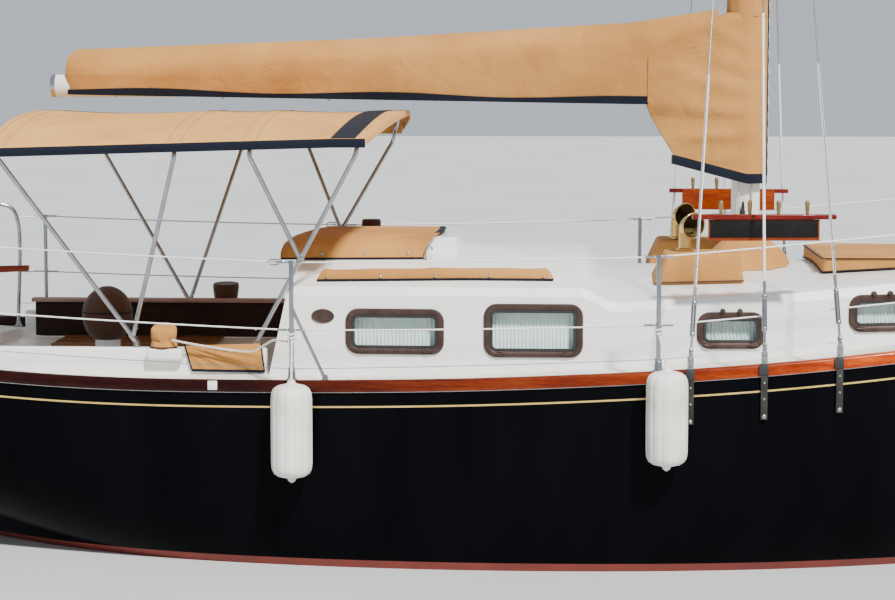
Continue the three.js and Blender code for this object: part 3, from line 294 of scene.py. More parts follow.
def cut_out(piece, *cutters):
    for cutter in cutters:
        work(piece, "BOOLEAN", operation="DIFFERENCE", object=cutter, solver="EXACT")
        bpy.data.objects.remove(cutter)
    return piece


def block(low, high, edge=0.0):
    """A squared block between two corners, given in any order, with its edges eased."""
    bpy.ops.object.select_all(action="DESELECT")
    bpy.ops.mesh.primitive_cube_add(size=1, location=[(a + b) / 2 for a, b in zip(low, high)])
    piece = bpy.context.object
    piece.scale = [abs(b - a) for a, b in zip(low, high)]
    bpy.ops.object.transform_apply(location=True, rotation=True, scale=True)
    if edge:
        mesh_edit(piece, bpy.ops.mesh.bevel, offset=edge, segments=3, affect="EDGES")
    return piece


def plate(outline, low, high, edge=0.0, upright=True):
    """A slab from a flat outline, extruded across the boat, or upward where it isn't upright."""
    rings = [[(a, depth, b) if upright else (a, b, depth) for a, b in outline] for depth in (low, high)]
    piece = skin("plate", rings, capped=True)
    if edge:
        work(piece, "BEVEL", width=edge, segments=3, limit_method="ANGLE", angle_limit=math.radians(40))
    return piece


def fit(piece, name, material, body="yacht", angle=35, slot=None, node=None):
    """Names a finished piece, gives it its material, smooths it and lets it ride on its body."""
    take_up(piece)
    piece.name = name
    piece.data.name = name
    if material:
        piece.data.materials.clear()
        piece.data.materials.append(material)
    bpy.ops.object.shade_smooth_by_angle(angle=math.radians(angle))
    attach(piece, body)
    for replaced in [node] if isinstance(node, str) else node or []:
        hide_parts(replaced)
    return piece


def mirrored(half):
    """A whole ring from its port half, which starts on the centre line."""
    return [(x, -y, z) for x, y, z in half] + [(x, y, z) for x, y, z in reversed(half[1:])]


def hull_ring(x):
    edge, beam = deck_edge(x), half_beam(x)
    margin = beam - min(0.06, beam * 0.3)
    half = [(x, margin * share, edge + beam * 0.045 * (1 - share**2)) for share in (0, 0.2, 0.4, 0.6, 0.8, 1)]
    half += [(x, *side_point(x, share)) for share in spread(0, 1, 0.045)]
    return mirrored([*half, (x, faired(LINES, THICK, x), straight(LINES, KEEL, x))])


def stern_x(z, shift=0.0):
    """The raked line of the stern, or a line at some distance from it."""
    return -4.3 - STERN_RAKE * (z - 1.18) + shift


stations = [x for low, high in zip(LINES, LINES[1:]) for x in spread(low[0], high[0], 0.13)[:-1]]
hull = skin("hull", [hull_ring(x) for x in [*stations, 4.31]], capped=True)
screw_bay = [(stern_x(-0.57, 0.26), -0.57), (stern_x(-1.03, 0.26), -1.03), (-4.8, -1.03), (-4.8, -0.57)]
cabin_room = [(-1.5, -0.8), (0.6, -0.8), (2.1, -0.33), (2.1, 0.33), (0.6, 0.8), (-1.5, 0.8)]
cut_out(
    hull,
    plate([(stern_x(2.2), 2.2), (stern_x(-1.8), -1.8), (-5.4, -1.8), (-5.4, 2.2)], -1.6, 1.6),
    plate(screw_bay, -0.2, 0.2),
    block((-3.5, -0.88, 0.96), (-1.705, 0.88, 2), 0.010),
    block((-3.35, -0.32, 0.43), (-2.05, 0.32, 2), 0.025),
    plate(cabin_room, -0.3, 2.5, upright=False),
    block((-2.65, -0.3, -0.25), (-1.45, 0.3, 0.35)),
    block((-3.15, -0.8, 0.64), (-2.25, -0.42, 2)),
    block((-3.15, 0.42, 0.64), (-2.25, 0.8, 2)),
    block((-2.6, -0.3, -1.7), (1.5, 0.3, -1.0)),
)
BLACK_GLOSS = finish(
    "black_topside",
    [(0.0012, 0.0013, 0.002), (0.0025, 0.0028, 0.004)],
    (0.08, 0.18),
    scale=2.2,
    stretch=(1.4, 1.4, 0.25),
    Specular_IOR_Level=0.03,
)
BOTTOM_PAINT = finish(
    "bottom_paint", [(0.16, 0.022, 0.014), (0.22, 0.034, 0.02)], (0.55, 0.75), scale=5, relief=0.3
)
WHITE_GELCOAT = finish(
    "white_gelcoat",
    [(0.85, 0.86, 0.86), (0.90, 0.90, 0.89)],
    (0.16, 0.34),
    scale=1.6,
    relief=0.05,
    relief_scale=30,
    Coat_Weight=0.3,
)
DECK_GRIP = finish(
    "deck_grip", [(0.70, 0.69, 0.64), (0.76, 0.75, 0.70)], (0.6, 0.75), scale=3, relief=0.9, relief_scale=420
)


def paint_split(piece):
    """Divides the faces along the edge of the bottom paint."""
    return mesh_edit(piece, bpy.ops.mesh.bisect, plane_co=(0, 0, BOOT_TOP), plane_no=(0, 0, 1))


paint_split(hull)
fit(hull, "hull_moulding", None, slot="hull_gloss", node=["hull_aft", "hull_middle", "hull_bow"])
TOPSIDE, BOTTOM, MOULDED, DECK = range(4)
for material in (BLACK_GLOSS, BOTTOM_PAINT, WHITE_GELCOAT, DECK_GRIP):
    hull.data.materials.append(material)
for face in hull.data.polygons:
    x, y, z = face.center
    outboard = abs(y) > side_point(clamp(x, -4.4, 4.31), 0.02)[0] - 0.01 or face.normal.z < 0.6
    inside = -3.52 < x < 2.12 and abs(y) < 0.885 and z > -0.31 and abs(y) < skin_reach(x, z) - 0.03
    inside = inside and (abs(face.normal.z) > 0.99 or abs(y) < 0.881)
    in_well = inside and z < rail_top(x) - 0.04 and not (x > -1.69 and z > 0.9)
    if in_well:
        face.material_index = MOULDED
    elif z < BOOT_TOP:
        face.material_index = BOTTOM
    elif face.normal.z > 0.6 and z > rail_top(x) - 0.075:
        face.material_index = DECK
    else:
        face.material_index = TOPSIDE if outboard and not inside else MOULDED

# Cove stripe and pale line under the rail.
# A gilded line 9 mm wide cut along the topside, 8 cm under the rail, from the stern to the stem.
# A thin pale line, grey in patches, runs right under the rail; both are ribbons that follow the skin.
GILT = finish("gilt", [(0.72, 0.46, 0.13), (0.85, 0.60, 0.22)], (0.3, 0.45), metallic=0.6, scale=9)
PALE_UNDER_RAIL = finish("bedding", [(0.45, 0.45, 0.44), (0.70, 0.70, 0.68)], (0.5, 0.7), scale=30)
STRIPES = [("cove_stripe", 0.083, 0.074, GILT), ("bedding_line", 0.0045, 0.0005, PALE_UNDER_RAIL)]
for side, word in SIDES:
    for label, top, bottom, material in STRIPES:
        rings = []
        for x in spread(-4.24, 4.2, 0.05):
            drop = deck_edge(x) - faired(LINES, RABBET, x)
            ring = []
            for fall, depth in ((top, 0.0012), (bottom, 0.0012), (bottom, -0.002), (top, -0.002)):
                y, z = side_point(x, fall / drop)
                ring.append((x, side * (y + depth), z))
            rings.append(ring)
        fit(skin("stripe", rings, capped=True), f"{word}_{label}", material)

# Toe rail.
# A varnished hardwood rail stands on each deck edge, 62 mm high, bent to the sheer and rounded on top.
# It runs from the stern to the stem, and crosses the transom; its varnish has darkened by the cockpit.
def multiplied(material, colour, strength):
    """Multiplies the material's colour by another one."""
    blend = add_node(material, "Mix", Factor=strength)
    blend.data_type, blend.blend_type = "RGBA", "MULTIPLY"
    base = material.node_tree.nodes["Principled BSDF"].inputs["Base Color"].links[0].from_socket
    material.node_tree.links.new(base, blend.inputs[6])
    material.node_tree.links.new(colour, blend.inputs[7])
    feed(material, "Base Color", blend.outputs[2])


def varnished(name, colours, along=(1.0, 16, 16)):
    """Clear varnish over wood whose figure runs the long way of the piece."""
    clear = {"Coat_Weight": 0.10, "Coat_Roughness": 0.05, "Specular_IOR_Level": 0.15}
    material = finish(name, colours, (0.2, 0.34), scale=2.4, stretch=along, relief=0.04, **clear)
    place = add_node(material, "TexCoord").outputs["Object"]
    mapped = add_node(material, "Mapping", {"Vector": place}, Scale=[share * 9 for share in along])
    pores = add_node(material, "TexNoise", {"Vector": mapped.outputs["Vector"]}, Scale=2.0, Detail=3)
    streaks = coloured_ramp(material, pores.outputs["Fac"], [(0.42, (0.55, 0.5, 0.5)), (0.58, (1, 1, 1))])
    multiplied(material, streaks, 0.7)
    return material


VARNISHED_RAIL = varnished(
    "varnished_rail", [(0.36, 0.030, 0.003), (0.62, 0.080, 0.004), (0.80, 0.14, 0.007)]
)
AGEING = [
    # share of the way from x -1.9 to x 1.6, tint
    (0.05, (0.030, 0.018, 0.1)),
    (0.39, (0.25, 0.24, 0.8)),
    (0.60, (0.27, 0.23, 0.5)),
    (0.83, (0.47, 0.40, 0.5)),
    (0.97, (0.80, 0.78, 0.8)),
]
place = add_node(VARNISHED_RAIL, "TexCoord").outputs["Object"]
where = add_node(VARNISHED_RAIL, "SeparateXYZ", {"Vector": place}).outputs["X"]
along_boat = add_node(VARNISHED_RAIL, "MapRange", {"Value": where}, **{"From Min": -1.9, "From Max": 1.6})
multiplied(VARNISHED_RAIL, coloured_ramp(VARNISHED_RAIL, along_boat.outputs["Result"], AGEING), 1.0)
SECTION = [
    (-0.035, 0.0),
    (-0.035, 0.050),
    (-0.031, 0.058),
    (-0.022, 0.062),
    (-0.002, 0.062),
    (0.007, 0.058),
    (0.012, 0.048),
    (0.012, 0.0),
]


def rail_ring(x, side):
    foot, reach = rail_top(x) - 0.0617, half_beam(x)
    return [(x, side * (reach + across), foot + up) for across, up in SECTION]


def joined(pieces):
    take_up(pieces[0])
    for piece in pieces[1:]:
        piece.select_set(True)
    bpy.ops.object.join()
    return bpy.context.object


RAIL_AFT = -4.262
for side, word in SIDES:
    runs = [*spread(RAIL_AFT, 4.04, 0.07), *spread(4.07, 4.30, 0.023)]
    rail = skin("rail", [rail_ring(x, side) for x in runs], capped=True)
    top, reach = rail_top(RAIL_AFT), half_beam(RAIL_AFT) - 0.01
    transom = block((RAIL_AFT, side * 0.001, top - 0.11), (-4.214, side * reach, top - 0.001), 0.008)
    rail = joined([rail, transom])
    fit(rail, f"{word}_toe_rail", VARNISHED_RAIL, slot="varnished_teak", node=f"{word}_rail", angle=50)

# Stanchions and lifelines.
# Each stanchion is a stainless post in a cast base screwed to the rail, with an eye for every line.
# White vinyl-covered wire runs at two heights from the pushpit to the pulpit, and a thin bare one low down.
STEEL = finish(
    "polished_steel",
    [(0.33, 0.34, 0.36), (0.46, 0.47, 0.49)],
    (0.14, 0.30),
    metallic=1.0,
    scale=14,
    relief=0.03,
    relief_scale=200,
)
WHITE_VINYL = finish("white_vinyl", [(0.80, 0.80, 0.78), (0.88, 0.88, 0.86)], (0.35, 0.5), scale=30)


def tube(points, radius, sides=12, closed=False, tips=None):
    """A round bar or line swept along its points, with its ends closed; tips are radius shares."""
    curve = bpy.data.curves.new("tube", "CURVE")
    curve.dimensions = "3D"
    curve.bevel_depth = radius
    curve.bevel_resolution = (sides - 4) // 2
    curve.use_fill_caps = True
    spline = curve.splines.new("POLY")
    spline.points.add(len(points) - 1)
    for index, (point, place) in enumerate(zip(spline.points, points)):
        point.co = (*place, 1)
        point.radius = tips[index] if tips else 1
    spline.use_cyclic_u = closed
    piece = bpy.data.objects.new("tube", curve)
    bpy.context.scene.collection.objects.link(piece)
    take_up(piece)
    bpy.ops.object.convert(target="MESH")
    return turn_outward(bpy.context.object)


def moved(piece, matrix):
    piece.data.transform(matrix)
    return piece


def aim(start, end):
    """The turn and shift that lay an upright piece from one point towards another."""
    along = Vector(end) - Vector(start)
    return Matrix.Translation(start) @ along.to_track_quat("Z", "Y").to_matrix().to_4x4()


def turned(profile, centre=(0, 0, 0), sides=24):
    """A piece turned on a lathe: radius and height pairs spun about an upright axis."""
    points = [(centre[0] + radius, centre[1], centre[2] + height) for radius, height in profile]
    spindle = new_piece("turned", points, [], [(index, index + 1) for index in range(len(profile) - 1)])
    mesh_edit(spindle, bpy.ops.mesh.spin, steps=sides, angle=2 * math.pi, center=centre, axis=(0, 0, 1))
    return turn_outward(spindle)


def spun(profile, start, end, sides=24):
    """A turned piece whose foot is at the start and whose axis points to the end."""
    return moved(turned(profile, sides=sides), aim(start, end))


def around(count):
    """Evenly spaced angles of a full turn."""
    return spread(0, 2 * math.pi, 2 * math.pi / count)[:-1]


def oval(centre, reach_x, reach_y, count):
    x, y, z = centre
    return [(x + reach_x * math.cos(angle), y + reach_y * math.sin(angle), z) for angle in around(count)]


STANCHIONS = [-3.40, -1.51, 0.395, 2.30]
LINE_LIFTS = [0.590, 0.236, 0.032]
POST_INSET = 0.012


def line_eye(x, side, lift):
    """Where a line passes a stanchion, at a height above the sheer; the low one climbs forward."""
    rise = 0.027 if lift < 0.1 and x > 0 else 0.0
    return Vector((x, side * (half_beam(x) - POST_INSET), sheer(x) + lift + rise))


def post_foot(x, side):
    return Vector((x, side * (half_beam(x) - POST_INSET), rail_top(x)))


POST = [(0, 0.0), (0.0125, 0.0), (0.0125, -0.016), (0.011, -0.006), (0.006, -0.001), (0, 0.0)]
POST_BASE = [
    (0, -0.002), (0.030, -0.002), (0.030, 0.004), (0.022, 0.009), (0.019, 0.045), (0.0165, 0.050), (0, 0.050)
]
BRACE_SHOE = [(0, 0), (0.018, 0), (0.018, 0.006), (0.011, 0.03), (0, 0.03)]
GATE_HOOK = [(0, 0), (-0.03, 0.014), (-0.075, 0.014), (-0.095, 0), (-0.075, -0.012), (-0.035, -0.012)]
LIFELINES = [("top", 0.0042, WHITE_VINYL), ("middle", 0.0042, WHITE_VINYL), ("low", 0.0018, STEEL)]
for side, word in SIDES:
    for number, x in enumerate(STANCHIONS, 1):
        foot = post_foot(x, side)
        tall = sheer(x) - rail_top(x) + 0.601
        profile = [*POST[:2], *[(radius, tall + height) for radius, height in POST[2:]]]
        parts = [turned(profile, foot, 16), turned(POST_BASE, foot, 20)]
        half_eye = Vector((0.019, 0.006, 0.008))
        for lift in LINE_LIFTS:
            eye = line_eye(x, side, lift)
            parts.append(block(eye - half_eye, eye + half_eye, 0.004))
        screw = tube([foot + Vector((0, -0.022, 0.03)), foot + Vector((0, 0.022, 0.03))], 0.004, 8)
        fit(joined([*parts[:2], screw, *parts[2:]]), f"{word}_stanchion_{number}", STEEL, slot="stainless")
    brace_foot = Vector((-1.335, side * (half_beam(-1.335) - 0.03), rail_top(-1.335)))
    brace = tube([line_eye(-1.51, side, 0.355), brace_foot], 0.009)
    shoe = turned(BRACE_SHOE, brace_foot - Vector((0, 0, 0.004)), 14)
    fit(joined([brace, shoe]), f"{word}_gate_brace", STEEL, slot="stainless")

    for lift, (label, radius, material) in zip(LINE_LIFTS, LIFELINES):
        stops = [Vector((-3.562, side * 1.092, sheer(-3.562) + lift * 0.98))]
        stops += [line_eye(x, side, lift) for x in STANCHIONS]
        stops += [Vector((3.062, side * 0.906, sheer(3.062) + lift * 0.98))]
        route = []
        for start, end in zip(stops, stops[1:]):
            sag = 0.016 * (end - start).length
            for share in spread(0, 1, 0.125)[:-1]:
                route.append(start.lerp(end, share) - Vector((0, 0, sag * share * (1 - share))))
        fit(tube([*route, stops[-1]], radius, 8), f"{word}_{label}_lifeline", material, angle=60)
    swages = []
    for eye in (line_eye(x, side, lift) for x in STANCHIONS for lift in LINE_LIFTS[:2]):
        for sign in (-1, 1):
            ends = [eye + Vector((sign * along, 0, 0)) for along in (0.022, 0.075)]
            swages.append(tube(ends, 0.0058, 8))
    gate = line_eye(-1.51, side, LINE_LIFTS[0]) - Vector((0.03, 0, 0))
    swages.append(tube([gate + Vector((along, 0, up)) for along, up in GATE_HOOK], 0.004, 8))
    fit(joined(swages), f"{word}_lifeline_fittings", STEEL, slot="stainless", angle=60)

# Rail plate.
# A small white cap plate is screwed to the outside of the starboard rail by the cockpit.
plate_y, plate_top = -(half_beam(-1.93) + 0.0118), rail_top(-1.93)
low, high = (-1.955, plate_y - 0.005, plate_top - 0.052), (-1.905, plate_y + 0.002, plate_top - 0.004)
fit(block(low, high, 0.0025), "rail_cap_plate", WHITE_VINYL)

# Cabin trunk.
# One moulding in white gelcoat, 32 mm thick: a raised house aft, a lower trunk forward, a cambered roof.
# The shell is laid over its sections and thickened inward; doorway, skylight and windows are cut through.
TRUNK = [
    # x, half breadth, eave, crown, lean
    (-1.670, 1.040, 1.450, 1.628, 0.22),
    (-1.530, 1.050, 1.450, 1.629, 0.0),
    (-0.620, 1.085, 1.452, 1.634, 0.0),
    (0.030, 1.085, 1.450, 1.630, 0.0),
    (0.140, 1.080, 1.375, 1.490, 0.0),
    (1.050, 1.035, 1.425, 1.502, 0.0),
    (1.350, 0.990, 1.450, 1.516, 0.0),
    (1.850, 0.885, 1.492, 1.547, 0.0),
    (2.250, 0.745, 1.515, 1.574, 0.0),
    (2.420, 0.655, 1.512, 1.570, -0.08),
    (2.520, 0.540, 1.505, 1.566, -0.22),
    (2.565, 0.400, 1.495, 1.555, -0.30),
]
HALF, EAVE, CROWN, LEAN = range(1, 5)


def roof_height(x, y):
    """Height of the roof, with the step at the fore end of the house eased into a curve."""
    crown, eave, half = (straight(TRUNK, column, x) for column in (CROWN, EAVE, HALF))
    if -0.01 < x < 0.19:
        share = (x + 0.01) / 0.20
        ease = share * share * (3 - 2 * share)
        crown, eave = 1.6303 + (1.492 - 1.6303) * ease, 1.4501 + (1.378 - 1.4501) * ease
    return crown - (crown - eave) * min(1.0, abs(y) / half) ** 2


def trunk_ring(x):
    half, lean = straight(TRUNK, HALF, x), straight(TRUNK, LEAN, x)
    turn = half - 0.05
    top = roof_height(x, turn)
    points = [(turn * share, roof_height(x, turn * share)) for share in spread(0, 1, 0.1)]
    points += [
        (turn + 0.05 * math.cos(angle), top + 0.05 * (math.sin(angle) - 1)) for angle in spread(1.2, 0, 0.2)
    ]
    points += [(half, 0.94)]
    ring = [(x + lean * (z - 1.05), y, z) for y, z in points]
    return [(a, -y, z) for a, y, z in reversed(ring[1:])] + ring


stations = spread(-1.67, -1.53, 0.07)[:-1] + spread(-1.53, -0.02, 0.15)
stations += spread(-0.01, 0.19, 0.0125) + spread(0.25, 2.25, 0.1)
stations += [2.335, 2.42, 2.47, 2.52, 2.5425, 2.565]
trunk = skin("trunk", [trunk_ring(x) for x in stations], looped=False, capped=True)
take_up(trunk)
for face in trunk.data.polygons:
    face.select = len(face.vertices) > 8
trunk.data.update()
bpy.ops.object.mode_set(mode="EDIT")
bpy.ops.mesh.select_mode(type="FACE")
bpy.ops.mesh.region_to_loop()
bpy.ops.mesh.bevel(offset=0.016, segments=4, affect="EDGES")
bpy.ops.object.mode_set(mode="OBJECT")
bpy.ops.object.mode_set(mode="EDIT")
bpy.ops.mesh.select_mode(type="VERT")
bpy.ops.mesh.select_all(action="SELECT")
bpy.ops.mesh.normals_make_consistent(inside=False)
bpy.ops.object.mode_set(mode="OBJECT")
if sum(face.normal.z * face.area for face in trunk.data.polygons) < 0:
    trunk.data.flip_normals()
work(trunk, "SOLIDIFY", thickness=0.032, offset=-1, use_even_offset=True)

WINDOWS = [
    (-1.000, 1.226, 0.520, 0.235),
    (-0.255, 1.236, 0.520, 0.277),
    (0.800, 1.239, 0.352, 0.186),
    (1.610, 1.325, 0.350, 0.190),
]


QUARTERS = ((1, 1), (-1, 1), (-1, -1), (1, -1))


def on_side(window, side):
    """Carries a point from a window's own plane (along, up, out) to the cabin side."""
    x, z = window[0], window[1]
    slope = straight(TRUNK, HALF, x + 0.01) - straight(TRUNK, HALF, x - 0.01)
    along = Vector((1, side * slope / 0.02, 0)).normalized()
    out = Vector((-along.y * side, side * along.x, 0))
    centre = Vector((x, side * straight(TRUNK, HALF, x), z))
    return lambda a, b, depth: centre + along * a + Vector((0, 0, b)) + out * depth


def window_ring(window, side, inset, depth, steps=6):
    """The window's rounded outline, drawn in by the inset and set out from the cabin side by the depth."""
    place = on_side(window, side)
    corner = 0.062 - inset
    reach_x, reach_y = window[2] / 2 - inset - corner, window[3] / 2 - inset - corner
    ring = []
    for quarter, (sx, sy) in enumerate(QUARTERS):
        for step in range(steps + 1):
            angle = math.pi / 2 * (quarter + step / steps)
            a, b = sx * reach_x + corner * math.cos(angle), sy * reach_y + corner * math.sin(angle)
            ring.append(place(a, b, depth))
    return ring


def window_slab(window, side, inset, back, front):
    return skin("slab", [window_ring(window, side, inset, depth) for depth in (back, front)], capped=True)


cut_out(
    trunk,
    block((-1.9, -0.3, 1.12), (-1.18, 0.3, 1.9)),
    block((1.425, -0.4, 1.3), (1.865, 0.4, 1.9)),
    *[window_slab(window, side, 0.0197, -0.08, 0.04) for window in WINDOWS for side in (-1, 1)],
)
fit(trunk, "cabin_moulding", WHITE_GELCOAT, slot="white_gelcoat", node="cabin_trunk", angle=28)

# Windows.
# Opening ports in brown-patinated bronze: a cast rim with rounded corners, a black gasket and a pane.
# Two hinge lugs stand at the foot of each, and the two forward ones have closing knobs above.
BRONZE_RIM = finish(
    "brown_bronze",
    [(0.040, 0.022, 0.018), (0.075, 0.045, 0.037)],
    (0.38, 0.6),
    metallic=0.45,
    scale=18,
    relief=0.5,
    relief_scale=160,
)
# Black rubber for the window gaskets; the same black paints the shade of the recesses at the strap feet.
BLACK_RUBBER_AND_PAINTED_SHADE = finish(
    "black_rubber_and_painted_shade", [(0.012, 0.012, 0.013), (0.02, 0.02, 0.022)], (0.5, 0.7), scale=30, relief=0.2
)
PANE = finish("window_glass", [(0.02, 0.05, 0.05), (0.03, 0.06, 0.06)], (0.02, 0.05), scale=3, Alpha=0.06)
CURTAIN = finish(
    "pleated_cotton",
    [(0.72, 0.93, 0.90), (0.85, 1.0, 0.97)],
    (0.8, 0.95),
    scale=5,
    stretch=(3, 3, 0.6),
    relief=0.5,
    relief_scale=600,
    Sheen_Weight=0.3,
)


def framed(window, side, steps):
    """A closed ring swept round the window: inset and depth pairs give its section."""
    rings = [window_ring(window, side, inset, depth) for inset, depth in steps]
    return skin("frame", [*rings, rings[0]])


RIM = [
    (-0.006, 0),
    (-0.006, 0.009),
    (-0.002, 0.0135),
    (0.012, 0.0145),
    (0.020, 0.012),
    (0.027, 0.0095),
    (0.030, 0.004),
    (0.030, -0.024),
    (0.020, -0.024),
    (0.020, 0),
]
GASKET_SECTION = [
    (0.029, 0.004), (0.029, 0.0075), (0.035, 0.0085), (0.043, 0.006), (0.043, 0.002), (0.035, 0.001)
]
KNOB = [(0, 0), (0.013, 0.0), (0.011, 0.010), (0.015, 0.018), (0.012, 0.030), (0, 0.032)]
for side, word in SIDES:
    for number, window in enumerate(WINDOWS, 1):
        place = on_side(window, side)
        x, z, width, height = window
        name = f"{word}_port_{number}"
        parts = [framed(window, side, RIM)]
        for spot in (-0.34 * width, 0.34 * width):
            low = place(spot - 0.016, 0.006 - height / 2, 0.012)
            parts.append(block(low, place(spot + 0.016, 0.030 - height / 2, 0.026), 0.004))
            ends = [place(spot + reach, 0.016 - height / 2, 0.021) for reach in (-0.024, 0.024)]
            parts.append(tube(ends, 0.005, 8))
        if number > 2:
            for spot in (-0.13 * width, 0.13 * width):
                foot, tip = (place(spot, height / 2 + 0.012, depth) for depth in (0.0, 0.1))
                parts.append(spun(KNOB, foot, tip, 14))
        node = f"{word}_window_{number}"
        fit(joined(parts), f"{name}_rim", BRONZE_RIM, slot="bronze_frame", node=node, angle=40)
        fit(framed(window, side, GASKET_SECTION), f"{name}_gasket", BLACK_RUBBER_AND_PAINTED_SHADE, angle=50)
        fit(window_slab(window, side, 0.031, 0.002, 0.0055), f"{name}_pane", PANE, slot="bronze_frame")
        pleats, inner_w, inner_h = round(width / 0.022), width - 0.03, height - 0.02
        rings = []
        for row in spread(-0.5, 0.5, 0.25):
            ring = []
            for step in range(pleats * 6 + 1):
                share = step / (pleats * 6)
                swing = 0.0065 * math.sin(share * pleats * 2 * math.pi)
                swing += 0.003 * noise.noise(Vector((share * 9, row * 2, x * 7)))
                ring.append(place((share - 0.5) * inner_w, row * inner_h, -0.054 + swing))
            rings.append(ring)
        curtain = work(skin("curtain", rings, looped=False), "SOLIDIFY", thickness=0.0012, offset=0)
        fit(curtain, f"{name}_curtain", CURTAIN, angle=70)
        flat = inner_w * (1 + (math.pi * 0.0065 * pleats / inner_w) ** 2) * 0.97

# Oval plate.
# A blank cast bronze oval is bedded on the cabin side aft of the first port, with a raised rim.
# Its field is smooth and plain.
OVAL_SECTION = [
    (0, 0.0), (0.0625, 0.0), (0.0625, 0.004), (0.059, 0.006), (0.055, 0.004), (0.052, 0.0035), (0, 0.0045)
]
for side, word in SIDES:
    disc = moved(turned(OVAL_SECTION, sides=40), Matrix.Scale(0.64, 4, (0, 1, 0)))
    moved(disc, Matrix.Rotation(math.radians(-90 * side), 4, "X"))
    place = on_side((-1.39, 1.305, 0, 0), side)
    fit(moved(disc, Matrix.Translation(place(0, 0, -0.001))), f"{word}_oval_plate", BRONZE_RIM, angle=40)

# Companionway.
# A sliding hatch of varnished boards runs into a white sea hood, over drop boards in the doorway.
# All three are joinery and moulding of simple section, so the frame's own solids are kept and finished.
VARNISHED_DARK = varnished(
    "varnished_mahogany", [(0.10, 0.012, 0.005), (0.20, 0.030, 0.010), (0.28, 0.05, 0.014)], (16, 1, 16)
)


def dress(node, material):
    """Gives a part of the frame that keeps its own shape its finish."""
    solid = bpy.data.objects[node]
    for material_slot in solid.material_slots:
        material_slot.material = material
    if not solid.material_slots:
        solid.data.materials.append(material)


dress("sea_hood", WHITE_GELCOAT)
dress("companionway_hatch", VARNISHED_DARK)
dress("companionway_boards", VARNISHED_DARK)


# Canvas cover of the hatch and its hood.
# Tan acrylic canvas is drawn over the hood like a low tunnel, closed forward under a dark cap.
# Its lower edge is bound in dark tape and snapped to the roof; a flap hangs over the drop boards.
def sewn_canvas(name, colours, creases=0.55, sheen=0.25):
    """Woven acrylic cloth: a fine two-way thread, faded patches and soft creases."""
    cloth_look = {"Sheen_Weight": sheen, "Sheen_Roughness": 0.5, "Specular_IOR_Level": 0.2}
    material = finish(name, colours, (0.78, 0.95), scale=2.6, **cloth_look)
    place = add_node(material, "TexCoord").outputs["Object"]
    weave = add_node(material, "Math")
    weave.operation = "ADD"
    for index, direction in enumerate(("X", "Z")):
        thread = add_node(material, "TexWave", {"Vector": place}, Scale=230, Distortion=0.6)
        thread.bands_direction = direction
        material.node_tree.links.new(thread.outputs["Fac"], weave.inputs[index])
    fine = add_node(material, "Bump", {"Height": weave.outputs["Value"]}, Strength=0.12, Distance=0.0006)
    crease = add_node(material, "TexNoise", {"Vector": place}, Scale=7, Detail=3, Distortion=0.8)
    heights = {"Height": crease.outputs["Fac"], "Normal": fine.outputs["Normal"]}
    creased = add_node(material, "Bump", heights, Strength=creases, Distance=0.02)
    feed(material, "Normal", creased.outputs["Normal"])
    return material


TAN_CANVAS = sewn_canvas(
    "tan_canvas", [(0.38, 0.172, 0.042), (0.46, 0.218, 0.058), (0.51, 0.255, 0.072)], sheen=0.05
)
NAVY_CANVAS = sewn_canvas("navy_canvas", [(0.003, 0.005, 0.012), (0.006, 0.009, 0.020)], 0.3, 0.05)
# Dark brown cloth: the seams' own colour, and painted shade on the hoods under the canopy.
BROWN_CANVAS_AND_PAINTED_SHADE = sewn_canvas("brown_canvas", [(0.055, 0.026, 0.016), (0.10, 0.05, 0.03)], 0.5)


def ruffle(piece, size, amount, lean=(1, 1, 1), seed=0.0):
    """Moves each point of the cloth along its normal by a smooth uneven amount."""
    normals = [vertex.normal.copy() for vertex in piece.data.vertices]
    for vertex, normal in zip(piece.data.vertices, normals):
        spot = Vector([vertex.co[axis] * lean[axis] / size + seed for axis in range(3)])
        vertex.co += normal * amount * noise.noise(spot)
    piece.data.update()
    return piece


def surface_area(piece):
    return sum(face.area for face in piece.data.polygons)


def cloth(piece, name, material, flat, held, rests_on, thick=0.003, area=None, **fitting):
    work(piece, "SOLIDIFY", thickness=thick, offset=-1)
    slot = "brown_canvas" if material == BROWN_CANVAS_AND_PAINTED_SHADE else "tan_canvas"
    fit(piece, name, material, slot=slot, **{"angle": 60, **fitting})


def edging(name, points, width, material, body="yacht"):
    """Binding tape sewn along an edge: a flat upright strip that lies just outside the cloth."""
    up, strips = Vector((0, 0, 1)), []
    for index, point in enumerate(points):
        ahead = Vector(points[min(len(points) - 1, index + 1)]) - Vector(points[max(0, index - 1)])
        out = ahead.normalized().cross(up).normalized()
        corners = ((0.0035, -width / 2), (0.0035, width / 2), (-0.0035, width / 2), (-0.0035, -width / 2))
        strips.append([Vector(point) + out * across + up * rise for across, rise in corners])
    return fit(skin("edging", strips, capped=True), name, material, body=body, angle=50)


def snaps(name, places, out, radius=0.008):
    """A row of turned snap fasteners whose caps face outward."""
    profile = [(0, -0.003), (radius, -0.003), (radius, 0.002), (radius * 0.6, 0.0045), (0, 0.005)]
    fit(joined([spun(profile, place, Vector(place) + Vector(out), 12) for place in places]), name, STEEL)


COVER_AFT, COVER_FORE, COVER_HALF, COVER_TOP = -1.672, -0.785, 0.597, 1.7015


def hatch_arch(x, grow=0.0):
    """One hoop of the cover from starboard to port, lower and rounder towards its aft end."""
    back = min(1.0, (x - COVER_AFT) / 0.26)
    hoop = []
    for share in spread(-1, 1, 0.04):
        y = (COVER_HALF + grow) * share
        along = min(x, COVER_FORE + grow) - 0.085 * abs(share) ** 2.2 * max(0.0, (x + 1.3) / 0.5)
        foot = roof_height(max(-1.66, along), y) + 0.004
        crown = COVER_TOP + grow - 0.010 * (y / 0.45) ** 2 - 0.050 * (1 - back) ** 2
        hoop.append((along, y, foot + (crown - foot) * max(0.0, 1 - abs(share) ** 7) ** 0.5))
    return hoop


